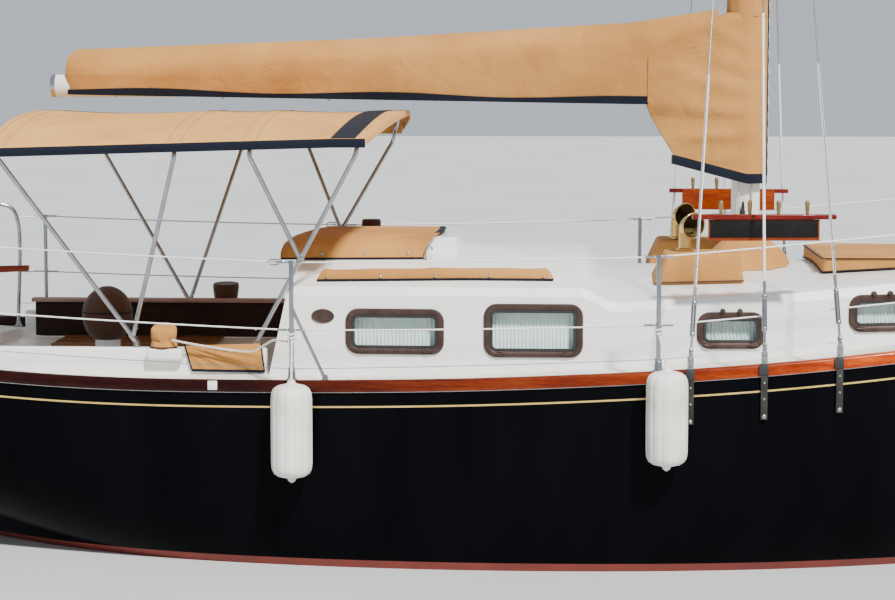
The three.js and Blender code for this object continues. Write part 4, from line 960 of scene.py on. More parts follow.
hoops = [hatch_arch(x) for x in spread(COVER_AFT, COVER_FORE, 0.045)]
FLAP_FOOT, FLAP_TOP = 1.612, 1.66
aft_flap = [
    [(COVER_AFT - 0.0015, y, FLAP_FOOT + (min(z, FLAP_TOP) - FLAP_FOOT) * rise) for _, y, z in hoops[0]]
    for rise in (0.0, 0.35, 0.7)
]
hatch_cover = ruffle(skin("hatch_cover", [*aft_flap, *hoops], looped=False), 0.17, 0.005, (0.6, 1.6, 1.6))
hatch_rests = ["sea_hood", "cabin_trunk"]
cloth(hatch_cover, "hatch_canvas", TAN_CANVAS, (1.12, 1.46), "draped", hatch_rests, node="hatch_cover")
for side, word in SIDES:
    foot = [
        (x, side * (COVER_HALF + 0.001), roof_height(max(-1.66, x), COVER_HALF) + 0.008)
        for x in spread(COVER_AFT, COVER_FORE - 0.085, 0.06)
    ]
    edging(f"{word}_hatch_canvas_binding", foot, 0.010, NAVY_CANVAS)
    places = [
        (x, side * (COVER_HALF - 0.004), roof_height(x, COVER_HALF) + 0.034) for x in (-1.44, -1.20, -0.96)
    ]
    snaps(f"{word}_hatch_canvas_snaps", places, (0, side, 0.1))
CAP_HOOPS = [(-0.034, 0.001), (-0.032, 0.004), (-0.012, 0.006), (0.006, 0.004), (0.012, -0.004)]
cap_rings = [hatch_arch(COVER_FORE + shift, grow)[14:37] for shift, grow in CAP_HOOPS]
fore_cap = work(skin("fore_cap", cap_rings, looped=False), "SOLIDIFY", thickness=0.004, offset=0)
fit(fore_cap, "hatch_canvas_cap", NAVY_CANVAS, angle=60)
HOOK_BEND = [(0, 0), (0, 0.055), (0.006, 0.072), (0.022, 0.079), (0.034, 0.072), (0.038, 0.058)]
hook_foot = Vector((-0.862, -0.612, roof_height(-0.862, 0.612) - 0.002))
hook = tube([hook_foot + Vector((along, 0, up)) for along, up in HOOK_BEND], 0.005, 8)
fit(hook, "hatch_canvas_hook", STEEL)

# Handrail covers.
# Long canvas sleeves over the teak handrails on the shoulders of the house, snapped along the lower edge.
# Each loop of the rail lifts the cloth a little; between the loops it sinks.
SLEEVE_AFT, SLEEVE_LONG = -1.43, 1.28
for side, word in SIDES:
    rings = []
    for x in spread(SLEEVE_AFT, SLEEVE_AFT + SLEEVE_LONG, 0.02):
        run = (x - SLEEVE_AFT) / SLEEVE_LONG
        end = min(1.0, run / 0.03, (1 - run) / 0.03) ** 0.5
        uneven = noise.noise(Vector((x * 14, side, 0)))
        lift = 0.052 + 0.002 * math.cos(run * 4 * 2 * math.pi) + 0.002 * uneven
        ring = []
        for angle in spread(0, math.pi, math.pi / 12):
            y = 0.93 + 0.0235 * math.cos(angle) * (0.92 + 0.08 * end)
            z = roof_height(x, y) + 0.002 + (lift * end + 0.004) * math.sin(angle) ** 0.55
            ring.append((x, side * y, z))
        rings.append(ring)
    sleeve = ruffle(skin("sleeve", rings, looped=False), 0.05, 0.0035, (0.5, 1, 1), 3.0)
    flat = (1.30, max(0.10, surface_area(sleeve) / SLEEVE_LONG))
    fitting = {"node": f"{word}_handrail_cover", "area": flat[0] * flat[1]}
    cloth(sleeve, f"{word}_handrail_sleeve", TAN_CANVAS, flat, "stretched", ["cabin_trunk"], **fitting)
    foot = [(x, side * 0.9575, roof_height(x, 0.9575) + 0.009) for x in spread(-1.432, -0.148, 0.08)]
    edging(f"{word}_handrail_binding", foot, 0.010, NAVY_CANVAS)
    places = [(x, side * 0.9565, roof_height(x, 0.955) + 0.024) for x in spread(-1.38, -0.20, 0.295)]
    snaps(f"{word}_handrail_snaps", places, (0, side, 0.2), 0.0075)

# Deck boxes.
# Two boxes beside the mast under fitted tan covers, slacker at the aft corners, with a hem seam low down.
# The cloth is laid over the box from hem to hem, pinched at its corners and bound at the foot.
BOX_AFT, BOX_FORE, BOX_INNER, BOX_OUTER, BOX_TOP = 0.402, 0.898, 0.342, 0.718, 1.625


def fitted_cover(low, high, top, foot_lift, slope, corner, crown, steps=16):
    """A cover over a box: rings from the hem up the walls and across the top, closed in the middle."""
    middle, half, ease = (low + high) / 2, (high - low) / 2, 0.012

    def ring(shrink, round_off, height):
        loop, reach = [], [half.x - shrink, half.y - shrink]
        turn = min(round_off, *reach)
        for quarter, (sx, sy) in enumerate(QUARTERS):
            for step in range(steps):
                angle = math.pi / 2 * (quarter + step / steps)
                x = middle.x + sx * (reach[0] - turn) + turn * math.cos(angle)
                y = middle.y + sy * (reach[1] - turn) + turn * math.sin(angle)
                loop.append((x, y, height(roof_height(x, y) + foot_lift)))
        return loop

    rings = []
    for share in spread(0, 1, 0.14):
        rings.append(ring(slope * share, corner, lambda foot: foot + (top - ease - foot) * share))
    for turn in (0.4, 0.8, 1.0):
        rings.append(ring(slope + ease * turn, corner, lambda foot: top - ease * (1 - turn) ** 1.6))
    for share in (0.15, 0.35, 0.6, 0.85, 0.97):
        inward = slope + ease + (min(half) - slope - ease) * share
        rings.append(ring(inward, corner, lambda foot: top + crown * math.sin(share * math.pi / 2)))
    count = len(rings[0])
    last = (len(rings) - 1) * count
    closing = [
        (last + s, last + s + 1, last + count - 2 - s, last + count - 1 - s) for s in range(count // 2 - 1)
    ]
    points = [point for loop in rings for point in loop]
    return turn_outward(new_piece("cover", points, [*band_faces(count, len(rings)), *closing]))


for side, word in SIDES:
    low_y, high_y = sorted((side * BOX_INNER, side * BOX_OUTER))
    corners = Vector((BOX_AFT, low_y)), Vector((BOX_FORE, high_y))
    box_cover = fitted_cover(*corners, BOX_TOP, 0.003, 0.022, 0.035, 0.0)
    normals = [vertex.normal.copy() for vertex in box_cover.data.vertices]
    for vertex, normal in zip(box_cover.data.vertices, normals):
        x, y, z = vertex.co
        fall = clamp((BOX_TOP - z) / 0.12)
        slack = max(0.0, 1 - (x - BOX_AFT) / 0.16)
        vertex.co.x += 0.045 * max(0.0, 1 - (x - BOX_AFT) / 0.2) * max(0.0, 1 - (BOX_TOP - z) / 0.15)
        wrinkle = 0.007 * fall * slack * math.sin(x * 150 + y * 40)
        vertex.co += normal * (wrinkle + 0.005 * noise.noise(Vector((x * 8, y * 8, z * 4 + side))) - 0.004)
    node = f"{word}_deck_box"
    cloth(box_cover, f"{word}_box_cover", TAN_CANVAS, (0.86, 0.74), "draped", ["cabin_trunk"], node=node)
    outer = side * (BOX_OUTER + 0.001)
    seam = [
        (x, outer, roof_height(x, BOX_OUTER) + 0.017) for x in spread(BOX_AFT + 0.005, BOX_FORE - 0.005, 0.07)
    ]
    edging(f"{word}_box_hem", seam, 0.007, BROWN_CANVAS_AND_PAINTED_SHADE)

# Cowl vents.
# Two polished brass cowls stand on the boxes, their mouths turned aft; a dark lining in the outer half of
# each bell is painted shade of the throat.
# The neck is swept up and over into a flared bell with a rolled rim.
BRASS = finish(
    "polished_brass",
    [(0.52, 0.33, 0.10), (0.72, 0.49, 0.18)],
    (0.16, 0.34),
    metallic=1.0,
    scale=16,
    relief=0.08,
    relief_scale=60,
)
# Dark olive to dark gold: painted shade inside the bells.
SHADE_IN_COWL = finish(
    "painted_shade_in_cowl", [(0.03, 0.020, 0.008), (0.12, 0.085, 0.030)], (0.4, 0.6), metallic=0.5, scale=20
)
MOUTH = Vector((0.50, -0.866, 0)).normalized()
COWL_STEM = [
    (0, 0.0),
    (0.050, 0.0),
    (0.050, 0.007),
    (0.044, 0.010),
    (0.0345, 0.013),
    (0.034, 0.085),
    (0.0365, 0.087),
    (0.0365, 0.094),
    (0.034, 0.096),
    (0, 0.097),
]
for side, word in SIDES:
    foot = Vector((0.580, side * 0.47, BOX_TOP))
    rings = []
    for share in spread(0, 1, 0.0625):
        angle = share * math.radians(97)
        radius = 0.034 + 0.036 * share**2.0
        centre = foot + Vector((0, 0, 0.092 + 0.050 * math.sin(angle)))
        centre = centre + MOUTH * (0.040 * (1 - math.cos(angle)) + 0.044 * share**3)
        across, up = Vector((-MOUTH.y, MOUTH.x, 0)), Vector((0, 0, math.sin(angle))) - MOUTH * math.cos(angle)
        rings.append([centre + up * radius * math.cos(t) + across * radius * math.sin(t) for t in around(32)])
    mouth = sum(rings[-1], Vector()) / len(rings[-1])
    bell = work(skin("bell", rings), "SOLIDIFY", thickness=0.0025, offset=-1)
    rim = tube([point + (point - mouth).normalized() * 0.001 for point in rings[-1]], 0.0040, 10, closed=True)
    parts = joined([turned(COWL_STEM, foot, 28), bell, rim])
    fit(parts, f"{word}_cowl", BRASS, slot="brass", node=f"{word}_cowl_vent", angle=50)
    throat = []
    for ring in rings[-9:]:
        throat += [point * 0.92 + (sum(ring, Vector()) / len(ring)) * 0.08 for point in ring]
    # A dark sheet laid just inside the bell's outer rings paints the shade of its throat.
    shade_in_throat = turn_outward(new_piece("throat", throat, [*band_faces(32, 9), tuple(range(32))]))
    fit(shade_in_throat, f"{word}_cowl_throat", SHADE_IN_COWL, angle=60)

# Canvas coat at the foot of the mast.
# A gathered skirt of tan canvas covers the mast's foot; a dark cord draws it in round the spar.
MAST_X, MAST_FORE, MAST_SIDE = 0.95, 0.082, 0.060
rings = []
for share in spread(0, 1, 0.1):
    ring = []
    for step in range(72):
        angle = step * math.pi / 36
        uneven = noise.noise(Vector((math.cos(angle) * 2, math.sin(angle) * 2, share * 2)))
        fold = 1 + 0.035 * (1 - share) * math.sin(angle * 9) + 0.05 * (1 - share) * uneven
        reach_x = (0.255 if math.cos(angle) > 0 else 0.225) * (1 - share) ** 0.8 + 0.098 * share
        reach_y = 0.30 * (1 - share) ** 0.8 + 0.076 * share
        x, y = MAST_X + reach_x * fold * math.cos(angle), reach_y * fold * math.sin(angle)
        ring.append((x, y, roof_height(x, y) + 0.003 + (0.148 + 0.01 * fold) * share**0.75))
    rings.append(ring)
cloth(skin("coat", rings), "mast_coat", TAN_CANVAS, (0.72, 0.74), "gathered", ["cabin_trunk", "mast"])
fit(tube(oval((MAST_X, 0, 1.642), 0.1015, 0.0795, 32), 0.005, 8, closed=True), "mast_coat_cord", NAVY_CANVAS)

# Skylight forward of the mast.
# A varnished coaming carries a hinged lid under a boxy tan cover with a dark piped seam round its side.
# The cover rides with the lid; its piping runs along the sides and aft end, not across the fore end.
dress("fore_hatch_coaming", VARNISHED_DARK)
lid_corners = Vector((1.337, -0.518)), Vector((1.983, 0.518))
lid_cover = ruffle(fitted_cover(*lid_corners, 1.594, 0.008, 0.004, 0.030, 0.005), 0.2, 0.006, (1, 1, 1), 8.0)
fitting = {"body": "skylight_lid", "node": "fore_hatch_lid"}
cloth(lid_cover, "skylight_canvas", TAN_CANVAS, (0.80, 1.20), "stretched", ["fore_hatch_coaming"], **fitting)
loop = [Vector((1.66 + sx * 0.3245, sy * 0.5195, 1.585)) for sx, sy in ((1, -1), (-1, -1), (-1, 1), (1, 1))]
seam = [start.lerp(end, share) for start, end in zip(loop, loop[1:]) for share in spread(0, 1, 0.1)[:-1]]
seam.append(loop[-1])
hem = [Vector((point.x, point.y, roof_height(point.x, point.y) + 0.012)) for point in seam]
for label, route, size in (("seam", seam, 0.005), ("hem", hem, 0.007)):
    edging(f"skylight_{label}_piping", route, size, NAVY_CANVAS, body="skylight_lid")

# Mast.
# A white-painted oval spar stepped on the roof, with a steel collar for the boom and two crosstrees.
# Cleats are screwed to its sides; halyards run down close to it.
COLLAR_Z, BOOM_Z, MASTHEAD_Z = 2.55, 2.535, 12.59
WHITE_SPAR = finish(
    "white_spar_paint",
    [(0.70, 0.70, 0.67), (0.82, 0.82, 0.80)],
    (0.24, 0.42),
    scale=2.0,
    stretch=(1, 1, 0.4),
    relief=0.05,
    Coat_Weight=0.3,
)
HALYARD = finish(
    "pale_rope",
    [(0.42, 0.40, 0.34), (0.62, 0.60, 0.54)],
    (0.7, 0.9),
    scale=40,
    stretch=(1, 1, 0.3),
    relief=0.5,
    relief_scale=300,
)
BLACK_IRON = finish(
    "black_iron",
    [(0.010, 0.011, 0.009), (0.035, 0.036, 0.031)],
    (0.45, 0.65),
    metallic=0.2,
    scale=12,
    relief=0.15,
)


def spar_loop(z, grow=0.0):
    return oval((MAST_X, 0, z), MAST_FORE + grow, MAST_SIDE + grow, 40)


def tapered(start, end, start_radius, end_radius, sides=16):
    length, middle = (Vector(end) - Vector(start)).length, (start_radius + end_radius) / 2
    profile = [(0, 0), (start_radius, 0), (middle, length / 2), (end_radius, length), (0, length)]
    return spun(profile, start, end, sides)


column_loops = [spar_loop(z) for z in (1.42, 2.0, 4.0, 7.0, 10.0, 12.64)]
column = skin("column", [*column_loops, spar_loop(12.65, -0.006)], capped=True)
fit(column, "mast_column", WHITE_SPAR, slot="white_spar", node="mast", angle=40)
STEP = [
    (0, -0.06), (0.125, -0.06), (0.125, 0.030), (0.118, 0.038), (0.096, 0.040), (0.094, 0.044), (0, 0.044)
]
fit(turned(STEP, (MAST_X, 0, 1.500), 36), "mast_step", WHITE_SPAR, slot="white_spar", node="mast")
COLLAR = [(0.0, -0.069), (0.088, -0.069), (0.090, -0.066), (0.090, 0.066), (0.088, 0.069), (0, 0.069)]
fit(turned(COLLAR, (MAST_X, 0, COLLAR_Z), 40), "boom_collar", STEEL, slot="stainless", node="mast", angle=30)
ROOT = [(0, 0), (0.036, 0.0), (0.034, 0.03), (0.028, 0.075), (0, 0.076)]
arms = [
    tapered((MAST_X, side * 0.03, 7.0514), (0.892, side * 0.832, 7.0887), 0.026, 0.016) for side in (-1, 1)
]
arms += [spun(ROOT, (MAST_X, side * 0.045, 7.0520), (0.89, side * 0.86, 7.09), 20) for side in (-1, 1)]
fit(joined(arms), "crosstrees", WHITE_SPAR, slot="white_spar", node="mast", angle=40)
HORN = [(-0.095, 0.087, 0.6), (-0.06, 0.079, 1), (0.0, 0.079, 1.1), (0.06, 0.079, 1), (0.095, 0.087, 0.6)]
for side, word in SIDES:
    horn = [Vector((MAST_X - 0.02, side * out, 1.78 + up)) for up, out, _ in HORN]
    parts = [tube(horn, 0.010, 10, tips=[tip for _, _, tip in HORN])]
    for low in (-0.045, 0.019):
        inner, outer = (MAST_X - 0.034, side * 0.050), (MAST_X - 0.006, side * 0.080)
        parts.append(block((*inner, 1.78 + low), (*outer, 1.78 + low + 0.026), 0.004))
    fit(joined(parts), f"{word}_halyard_cleat", BLACK_IRON)
    falls = []
    for shift in (-0.045, 0.03):
        route = [(MAST_X + shift, side * 0.072, 1.60), (MAST_X + shift, side * 0.070, 6.0)]
        falls.append(tube([*route, (MAST_X + shift * 0.5, side * 0.066, 12.5)], 0.0045, 6))
    fit(joined(falls), f"{word}_halyards", HALYARD)
masthead = block((MAST_X - 0.10, -0.030, 12.60), (MAST_X + 0.10, 0.030, 12.652), 0.006)
fit(masthead, "masthead_fitting", STEEL, slot="stainless")


# Boom.
# A white oval tube on a steel ring that turns on the mast's collar, with end caps at its aft end.
def boom_loop(x, grow=1.0):
    return [(x, 0.0515 * grow * math.cos(a), BOOM_Z + 0.0645 * grow * math.sin(a)) for a in around(28)]


spar = skin("spar", [boom_loop(x) for x in (-3.06, -1.5, 0.0, 0.852)], capped=True)
fit(spar, "boom_spar", WHITE_SPAR, body="boom_rig", slot="white_spar", node="boom", angle=40)
cap_loops = [boom_loop(x, grow) for x, grow in ((-3.08, 0.9), (-3.076, 1.0), (-3.05, 1.02))]
cap = skin("cap", cap_loops, capped=True)
GOOSENECK = [
    (0.0915, -0.048),
    (0.102, -0.050),
    (0.104, -0.044),
    (0.104, 0.044),
    (0.102, 0.050),
    (0.0915, 0.048),
    (0.0915, -0.048),
]
fittings = joined([cap, turned(GOOSENECK, (MAST_X, 0, COLLAR_Z), 40)])
fit(fittings, "boom_fittings", STEEL, body="boom_rig", slot="stainless", node="boom")

# Sail cover.
# The lowered sail lies on the boom under a long tan cover, hung from its ridge over the folded cloth.
# It is bound in navy along the foot and wrapped round the mast in a deep boot laced at the fore edge.
RIDGE = [(-2.98, 0.088, 2.745), (-1.20, 0.112, 2.81), (0.30, 0.128, 2.90), (0.89, 0.112, 2.99)]


def eased(points, steps=8):
    """A curve through all the points, with short steps between close points kept round."""
    knots = [Vector(point) for point in points]
    knots = [knots[0] * 2 - knots[1], *knots, knots[-1] * 2 - knots[-2]]
    route = []
    for a, b, c, d in zip(knots, knots[1:], knots[2:], knots[3:]):
        times = [0.0]
        for start, end in ((a, b), (b, c), (c, d)):
            times.append(times[-1] + max(1e-6, (end - start).length ** 0.5))
        for step in range(steps):
            now = times[1] + (times[2] - times[1]) * step / steps
            first = a.lerp(b, (now - times[0]) / (times[1] - times[0]))
            second = b.lerp(c, (now - times[1]) / (times[2] - times[1]))
            third = c.lerp(d, (now - times[2]) / (times[3] - times[2]))
            low = first.lerp(second, (now - times[0]) / (times[2] - times[0]))
            high = second.lerp(third, (now - times[1]) / (times[3] - times[1]))
            route.append(low.lerp(high, (now - times[1]) / (times[2] - times[1])))
    return [*route, knots[-2]]


def cover_foot(x):
    """Height of the cover's lower edge, which climbs a little towards the boom's end."""
    return 2.434 + 0.016 * max(0.0, 0.3 - x)


def cover_half(x):
    """Half of the cover's section from the ridge down to the foot, with creases from its fastenings."""
    half, top, foot = straight(RIDGE, 1, x), straight(RIDGE, 2, x) - 0.002, cover_foot(x)
    heights = (top, top - 0.035, top - 0.10, (top + foot) / 2 - 0.01, foot + 0.08, foot)
    outline = eased([(share * half, 0, z) for share, z in zip((0, 0.50, 0.90, 0.95, 0.84, 0.68), heights)], 6)
    points = []
    for index, point in enumerate(outline):
        down = index / (len(outline) - 1)
        tuck = 0.008 * math.sin(x * 7.5 + down * 3)
        tuck += 0.006 * math.sin(x * 17 + down * 7) * (1 - abs(2 * down - 1))
        points.append((point.x + tuck * down * (1 - down**3), point.z))
    return points


def cover_side(x, z):
    """Half width of the cover at a height."""
    points = cover_half(x)
    for (low_y, high_z), (high_y, low_z) in zip(points, points[1:]):
        if low_z <= z <= high_z:
            return high_y + (low_y - high_y) * (z - low_z) / max(1e-6, high_z - low_z)
    return points[-1][0] if z < points[-1][1] else 0.0


SAIL_AFT, SAIL_Z = -2.975, 2.60
rings = []
for x in spread(SAIL_AFT, 0.78, 0.05):
    end = min(1.0, (x - SAIL_AFT) / 0.05) ** 0.5 * 0.25 + 0.75
    half = [(x, y * end, SAIL_Z + (z - SAIL_Z) * end) for y, z in cover_half(x)]
    rings.append([(x, -y, z) for _, y, z in reversed(half[1:])] + half)
sail_cover = skin("sail_cover", rings, looped=False)
for vertex in sail_cover.data.vertices:
    x, y, z = vertex.co
    fade = clamp((x + 0.2) / 0.9) * max(0.0, min(1.0, abs(y) / 0.05, (z - 2.47) / 0.08))
    vertex.co.y += math.copysign(0.003, y) * fade * math.sin(z * 60 + x * 25)
on_boom = {"body": "boom_rig", "node": "sail_cover"}
cloth(sail_cover, "sail_cover_canvas", TAN_CANVAS, (3.80, 1.00), "draped", ["boom"], **on_boom)
end_rings = [
    [(x - 0.004 - 0.004 * k, y * s, SAIL_Z + (z - SAIL_Z) * s) for x, y, z in rings[0]]
    for k, s in ((0, 1.0), (2, 0.7), (3, 0.35), (3.4, 0.05))
]
end_close = skin("end_close", end_rings, looped=False)
cloth(end_close, "sail_cover_end", TAN_CANVAS, (0.19, 0.13), "stretched", ["boom"], area=0.0198, **on_boom)
for side, word in SIDES:
    strips = []
    for x in spread(-2.972, 0.385, 0.045):
        foot, deep = cover_foot(x), 0.033 + 0.010 * math.cos((x + 1.1) * 4.6)
        heights = [foot + rise for rise in (-0.003, 0.012, deep * 0.7, deep)]
        strips.append([(x, side * (cover_side(x, z) + 0.0035), z) for z in heights])
    band = work(skin("band", strips, looped=False), "SOLIDIFY", thickness=0.003, offset=0)
    fit(band, f"{word}_sail_cover_binding", NAVY_CANVAS, body="boom_rig", angle=60)
hooks = []
for x in spread(-2.7, 0.4, 0.62):
    y, z = cover_half(x)[-1]
    sling = [(-y, z + 0.005), (-0.03, z - 0.012), (0.03, z - 0.012), (y, z + 0.005)]
    hooks.append(tube([(x, *point) for point in sling], 0.0025, 6))
fit(joined(hooks), "sail_cover_lashings", HALYARD, body="boom_rig")


BOOT_FOOT = 2.0


def boot_ring(z):
    """A loop round the mast that closes in a slanting seam aft; above the boom it lies over the cover."""
    aft = 0.545 - 0.165 * clamp((z - 2.05) / 0.37) + 0.45 * max(0.0, (z - 2.72) / 0.23)
    mouth = 0.045 + (max(0.055, cover_side(aft, z)) + 0.006 - 0.045) * clamp((z - 2.36) / 0.08)
    angles = [math.radians(angle) for angle in spread(-110, 110, 10)]
    front = [(MAST_X + 0.1155 * math.cos(angle), 0.1155 * math.sin(angle), z) for angle in angles]
    port = [Vector(front[-1]).lerp(Vector((aft, mouth, z)), share) for share in spread(0, 1, 0.125)[1:]]
    starboard = [Vector((point.x, -point.y, z)) for point in reversed(port)]
    return [*front, *port, Vector((aft - 0.006, 0, z)), *starboard]


rings = []
for z in spread(BOOT_FOOT, 2.95, 0.025):
    ring = []
    for x, y, _ in boot_ring(z):
        fore = clamp((x - 0.545) / 0.40)
        hem = max(0.0, 1 - (z - BOOT_FOOT) / 0.35)
        swell = math.sin(math.pi * min(1.0, fore * 0.9 + 0.05)) * clamp((z - 2.06) / 0.10) * (abs(y) > 0.02)
        fan = 0.5 + 0.5 * math.sin(z * 40 + (fore - 0.5) * (z - 2.35) * 22)
        drape = (0.09 * (1 - fore) - 0.015 * fore) * hem
        ring.append((x, y + math.copysign(0.019 * fan**2.4 * swell, y), z + drape))
    rings.append(ring)
boot = skin("boot", rings)
for vertex in boot.data.vertices:
    reach = math.hypot(vertex.co.x - MAST_X, vertex.co.y)
    if reach < 0.112:
        vertex.co.x = MAST_X + (vertex.co.x - MAST_X) * 0.112 / reach
        vertex.co.y *= 0.112 / reach
boot_rests = ["boom", "sail_cover_canvas"]
cloth(boot, "sail_cover_boot", TAN_CANVAS, (1.50, 0.98), "hung", boot_rests, **on_boom)
neck_rings = []
for share in spread(0, 1, 0.08):
    ring = []
    for angle in around(40):
        pleat = 0.003 * math.sin(angle * 9 + share * 5)
        x = MAST_X + (0.117 - 0.004 * share + pleat) * math.cos(angle)
        ring.append((x, (0.117 - 0.012 * share + pleat) * math.sin(angle), 2.93 + 0.41 * share))
    neck_rings.append(ring)
neck, neck_rests = skin("neck", neck_rings), ["sail_cover_boot"]
cloth(neck, "sail_cover_neck", TAN_CANVAS, (0.78, 0.44), "gathered", neck_rests, area=0.30, **on_boom)
band = [
    [(MAST_X + (x - MAST_X) * grow, y * grow, z + lift) for x, y, z in rings[0]]
    for grow, lift in ((1.006, 0.050), (1.040, 0.046), (1.042, -0.002), (1.004, -0.006))
]
navy_band = skin("navy_band", [*band, band[0]])
fit(navy_band, "sail_cover_boot_band", NAVY_CANVAS, slot="tan_canvas", angle=40, **on_boom)
placket = block((MAST_X + 0.1125, -0.017, 1.975), (MAST_X + 0.1205, 0.017, 3.33), 0.003)
fit(placket, "sail_cover_fore_strip", NAVY_CANVAS, body="boom_rig", angle=40)
lacing = [
    (MAST_X + 0.124, -0.013 if index % 2 else 0.013, z) for index, z in enumerate(spread(2.02, 3.28, 0.045))
]
fit(tube(lacing, 0.0028, 6), "sail_cover_lacing", HALYARD, body="boom_rig")

# Standing rigging.
# Stainless wire from the masthead and the crosstrees to turnbuckles at the rail, in white sleeves above.
# Dark straps under grey links, each held by three bolts, carry the side wires; a black block where each strap
# meets the rail is painted shade of a recess in the rail.
WIRE = finish(
    "rigging_wire",
    [(0.30, 0.31, 0.32), (0.45, 0.46, 0.48)],
    (0.3, 0.45),
    metallic=0.9,
    scale=30,
    stretch=(1, 1, 4),
)
WHITE_SLEEVE = finish("white_sleeve", [(0.74, 0.75, 0.74), (0.84, 0.85, 0.84)], (0.35, 0.5), scale=4)
BOLT_GREY = finish(
    "bolt_heads", [(0.24, 0.25, 0.27), (0.42, 0.43, 0.45)], (0.28, 0.45), metallic=0.9, scale=30
)
LOWERS, CAP = (0.56, 1.33), 0.94


def shroud_foot(x, side):
    return Vector((x, side * (half_beam(x) + 0.0176), rail_top(x) + 0.06))


def lower_head(side):
    return Vector((MAST_X, side * 0.07, 6.90))


def turnbuckle(foot, head, low, high, radius=0.0125):
    """Two threaded rods in an open steel body, with a toggle at the foot and a swage above."""
    along, length = (head - foot).normalized(), high - low
    parts = [spun([(0, 0), (0.007, 0), (0.007, length), (0, length)], foot + along * low, head, 10)]
    for start, reach, thick in ((0.0, 0.030, 1.0), (0.30, 0.022, 1.15), (0.84, 0.022, 1.15)):
        thick *= radius
        nut = [(0, 0), (thick * 0.8, 0), (thick, 0.004)]
        nut += [(thick, reach - 0.004), (thick * 0.8, reach), (0, reach)]
        parts.append(spun(nut, foot + along * (low + length * start), head, 12))
    for shift in (-0.0095, 0.0095):
        ends = [foot + along * (low + length * share) + Vector((shift, 0, 0)) for share in (0.33, 0.85)]
        parts.append(tube(ends, 0.0042, 8))
    swage = [(0, 0), (0.0085, 0), (0.0085, 0.05), (0.0062, 0.062), (0, 0.064)]
    parts.append(spun(swage, foot + along * (high - 0.01), head, 10))
    toggle = foot + along * (low - 0.012)
    ends = toggle + Vector((-0.011, -0.007, -0.020)), toggle + Vector((0.011, 0.007, 0.022))
    parts.append(block(*ends, 0.004))
    return joined(parts)


BOLTS = [(-0.018, 0.007), (0.095, 0.007), (0.180, 0.007), (0.271, 0.0105)]
for side, word in SIDES:
    for x, label in ((LOWERS[0], "aft"), (LOWERS[1], "fore"), (CAP, "cap")):
        node = f"{word}_cap_shroud" if label == "cap" else f"{word}_lower_shrouds"
        foot = shroud_foot(x, side)
        legs, sleeved = [lower_head(side)], 1.5
        if label == "cap":
            legs, sleeved = [Vector((0.89, side * 0.87, 7.09)), Vector((MAST_X, side * 0.067, 12.53))], 1.75
        wire = tube([foot + Vector((0, 0, 0.02)), *legs], 0.0045, 8)
        fit(wire, f"{word}_{label}_wire", WIRE, slot="stainless", node=node)
        along = (legs[0] - foot).normalized()
        sleeve = tube([foot + along * 0.335, foot + along * sleeved], 0.0075, 10)
        fit(sleeve, f"{word}_{label}_sleeve", WHITE_SLEEVE)
        screw = turnbuckle(foot, legs[0], 0.020, 0.325)
        fit(screw, f"{word}_{label}_turnbuckle", STEEL, slot="stainless", node=node)
        skin_side, top = half_beam(x), rail_top(x)
        inner, outer = sorted((side * (skin_side + 0.0126), side * (skin_side + 0.0202)))
        strap = block((x - 0.018, inner, top - 0.288), (x + 0.018, outer, top + 0.004), 0.003)
        link_low = (x - 0.0165, inner + 0.001, top - 0.010)
        link = block(link_low, (x + 0.0165, outer + 0.001, top + 0.066), 0.004)
        # A black block at the rail, reaching further aft of the strap, is painted shade of a recess in the
        # rail.
        pad = block((x - 0.029, inner - 0.003, top - 0.056), (x + 0.021, outer + 0.0025, top - 0.006), 0.003)
        heads = []
        for drop, radius in BOLTS:
            profile = [(0, 0), (radius, 0), (radius, 0.003), (radius * 0.6, 0.006), (0, 0.0065)]
            head_y, z = side * (skin_side + 0.0205), top - drop
            heads.append(spun(profile, (x, head_y, z), (x, side * 3, z), 12))
        fit(strap, f"{word}_{label}_strap", BLACK_IRON, slot="iron", node=node)
        fit(pad, f"{word}_{label}_strap_pad", BLACK_RUBBER_AND_PAINTED_SHADE)
        fit(joined([link, *heads]), f"{word}_{label}_strap_link", BOLT_GREY)
for label, foot, head, node in (
    ("forestay", (5.82, 0, 1.7832), (MAST_X, 0, MASTHEAD_Z), "forestay"),
    ("staysail", (4.16, 0, 1.6232), (MAST_X, 0, 9.30), "staysail_stay"),
    ("backstay", (-5.19, 0, 1.25), (MAST_X, 0, MASTHEAD_Z), "backstay"),
):
    foot, head = Vector(foot), Vector(head)
    foot += (head - foot).normalized() * 0.055
    fit(tube([foot, head], 0.0050, 8), f"{label}_wire", WIRE, slot="stainless", node=node)
    fit(turnbuckle(foot, head, 0.02, 0.32), f"{label}_turnbuckle", STEEL, slot="stainless", node=node)

# Pin rails.
# Varnished bars lashed between the two lower shrouds on each side, with a blank board hung below them.
# Turned bronze pins drop through the bar; the near board is painted black with a varnished edge.
PIN_BRONZE = finish(
    "turned_bronze",
    [(0.22, 0.14, 0.06), (0.40, 0.27, 0.12)],
    (0.25, 0.42),
    metallic=0.9,
    scale=25,
    relief=0.08,
)
RED_VARNISH = varnished("red_mahogany", [(0.09, 0.0045, 0.004), (0.15, 0.009, 0.005), (0.19, 0.015, 0.007)])
ORANGE_VARNISH = varnished(
    "board_varnish", [(0.18, 0.020, 0.003), (0.25, 0.035, 0.004), (0.29, 0.050, 0.006)]
)
BLACK_FIELD = finish(
    "black_board_paint",
    [(0.003, 0.003, 0.003), (0.008, 0.007, 0.006)],
    (0.35, 0.5),
    scale=14,
    relief=0.06,
    Specular_IOR_Level=0.2,
)
PIN_PROFILE = [
    (0, -0.088),
    (0.0075, -0.086),
    (0.0098, -0.05),
    (0.0100, 0.010),
    (0.0082, 0.016),
    (0.0110, 0.040),
    (0.0128, 0.062),
    (0.0118, 0.078),
    (0.007, 0.085),
    (0, 0.086),
]
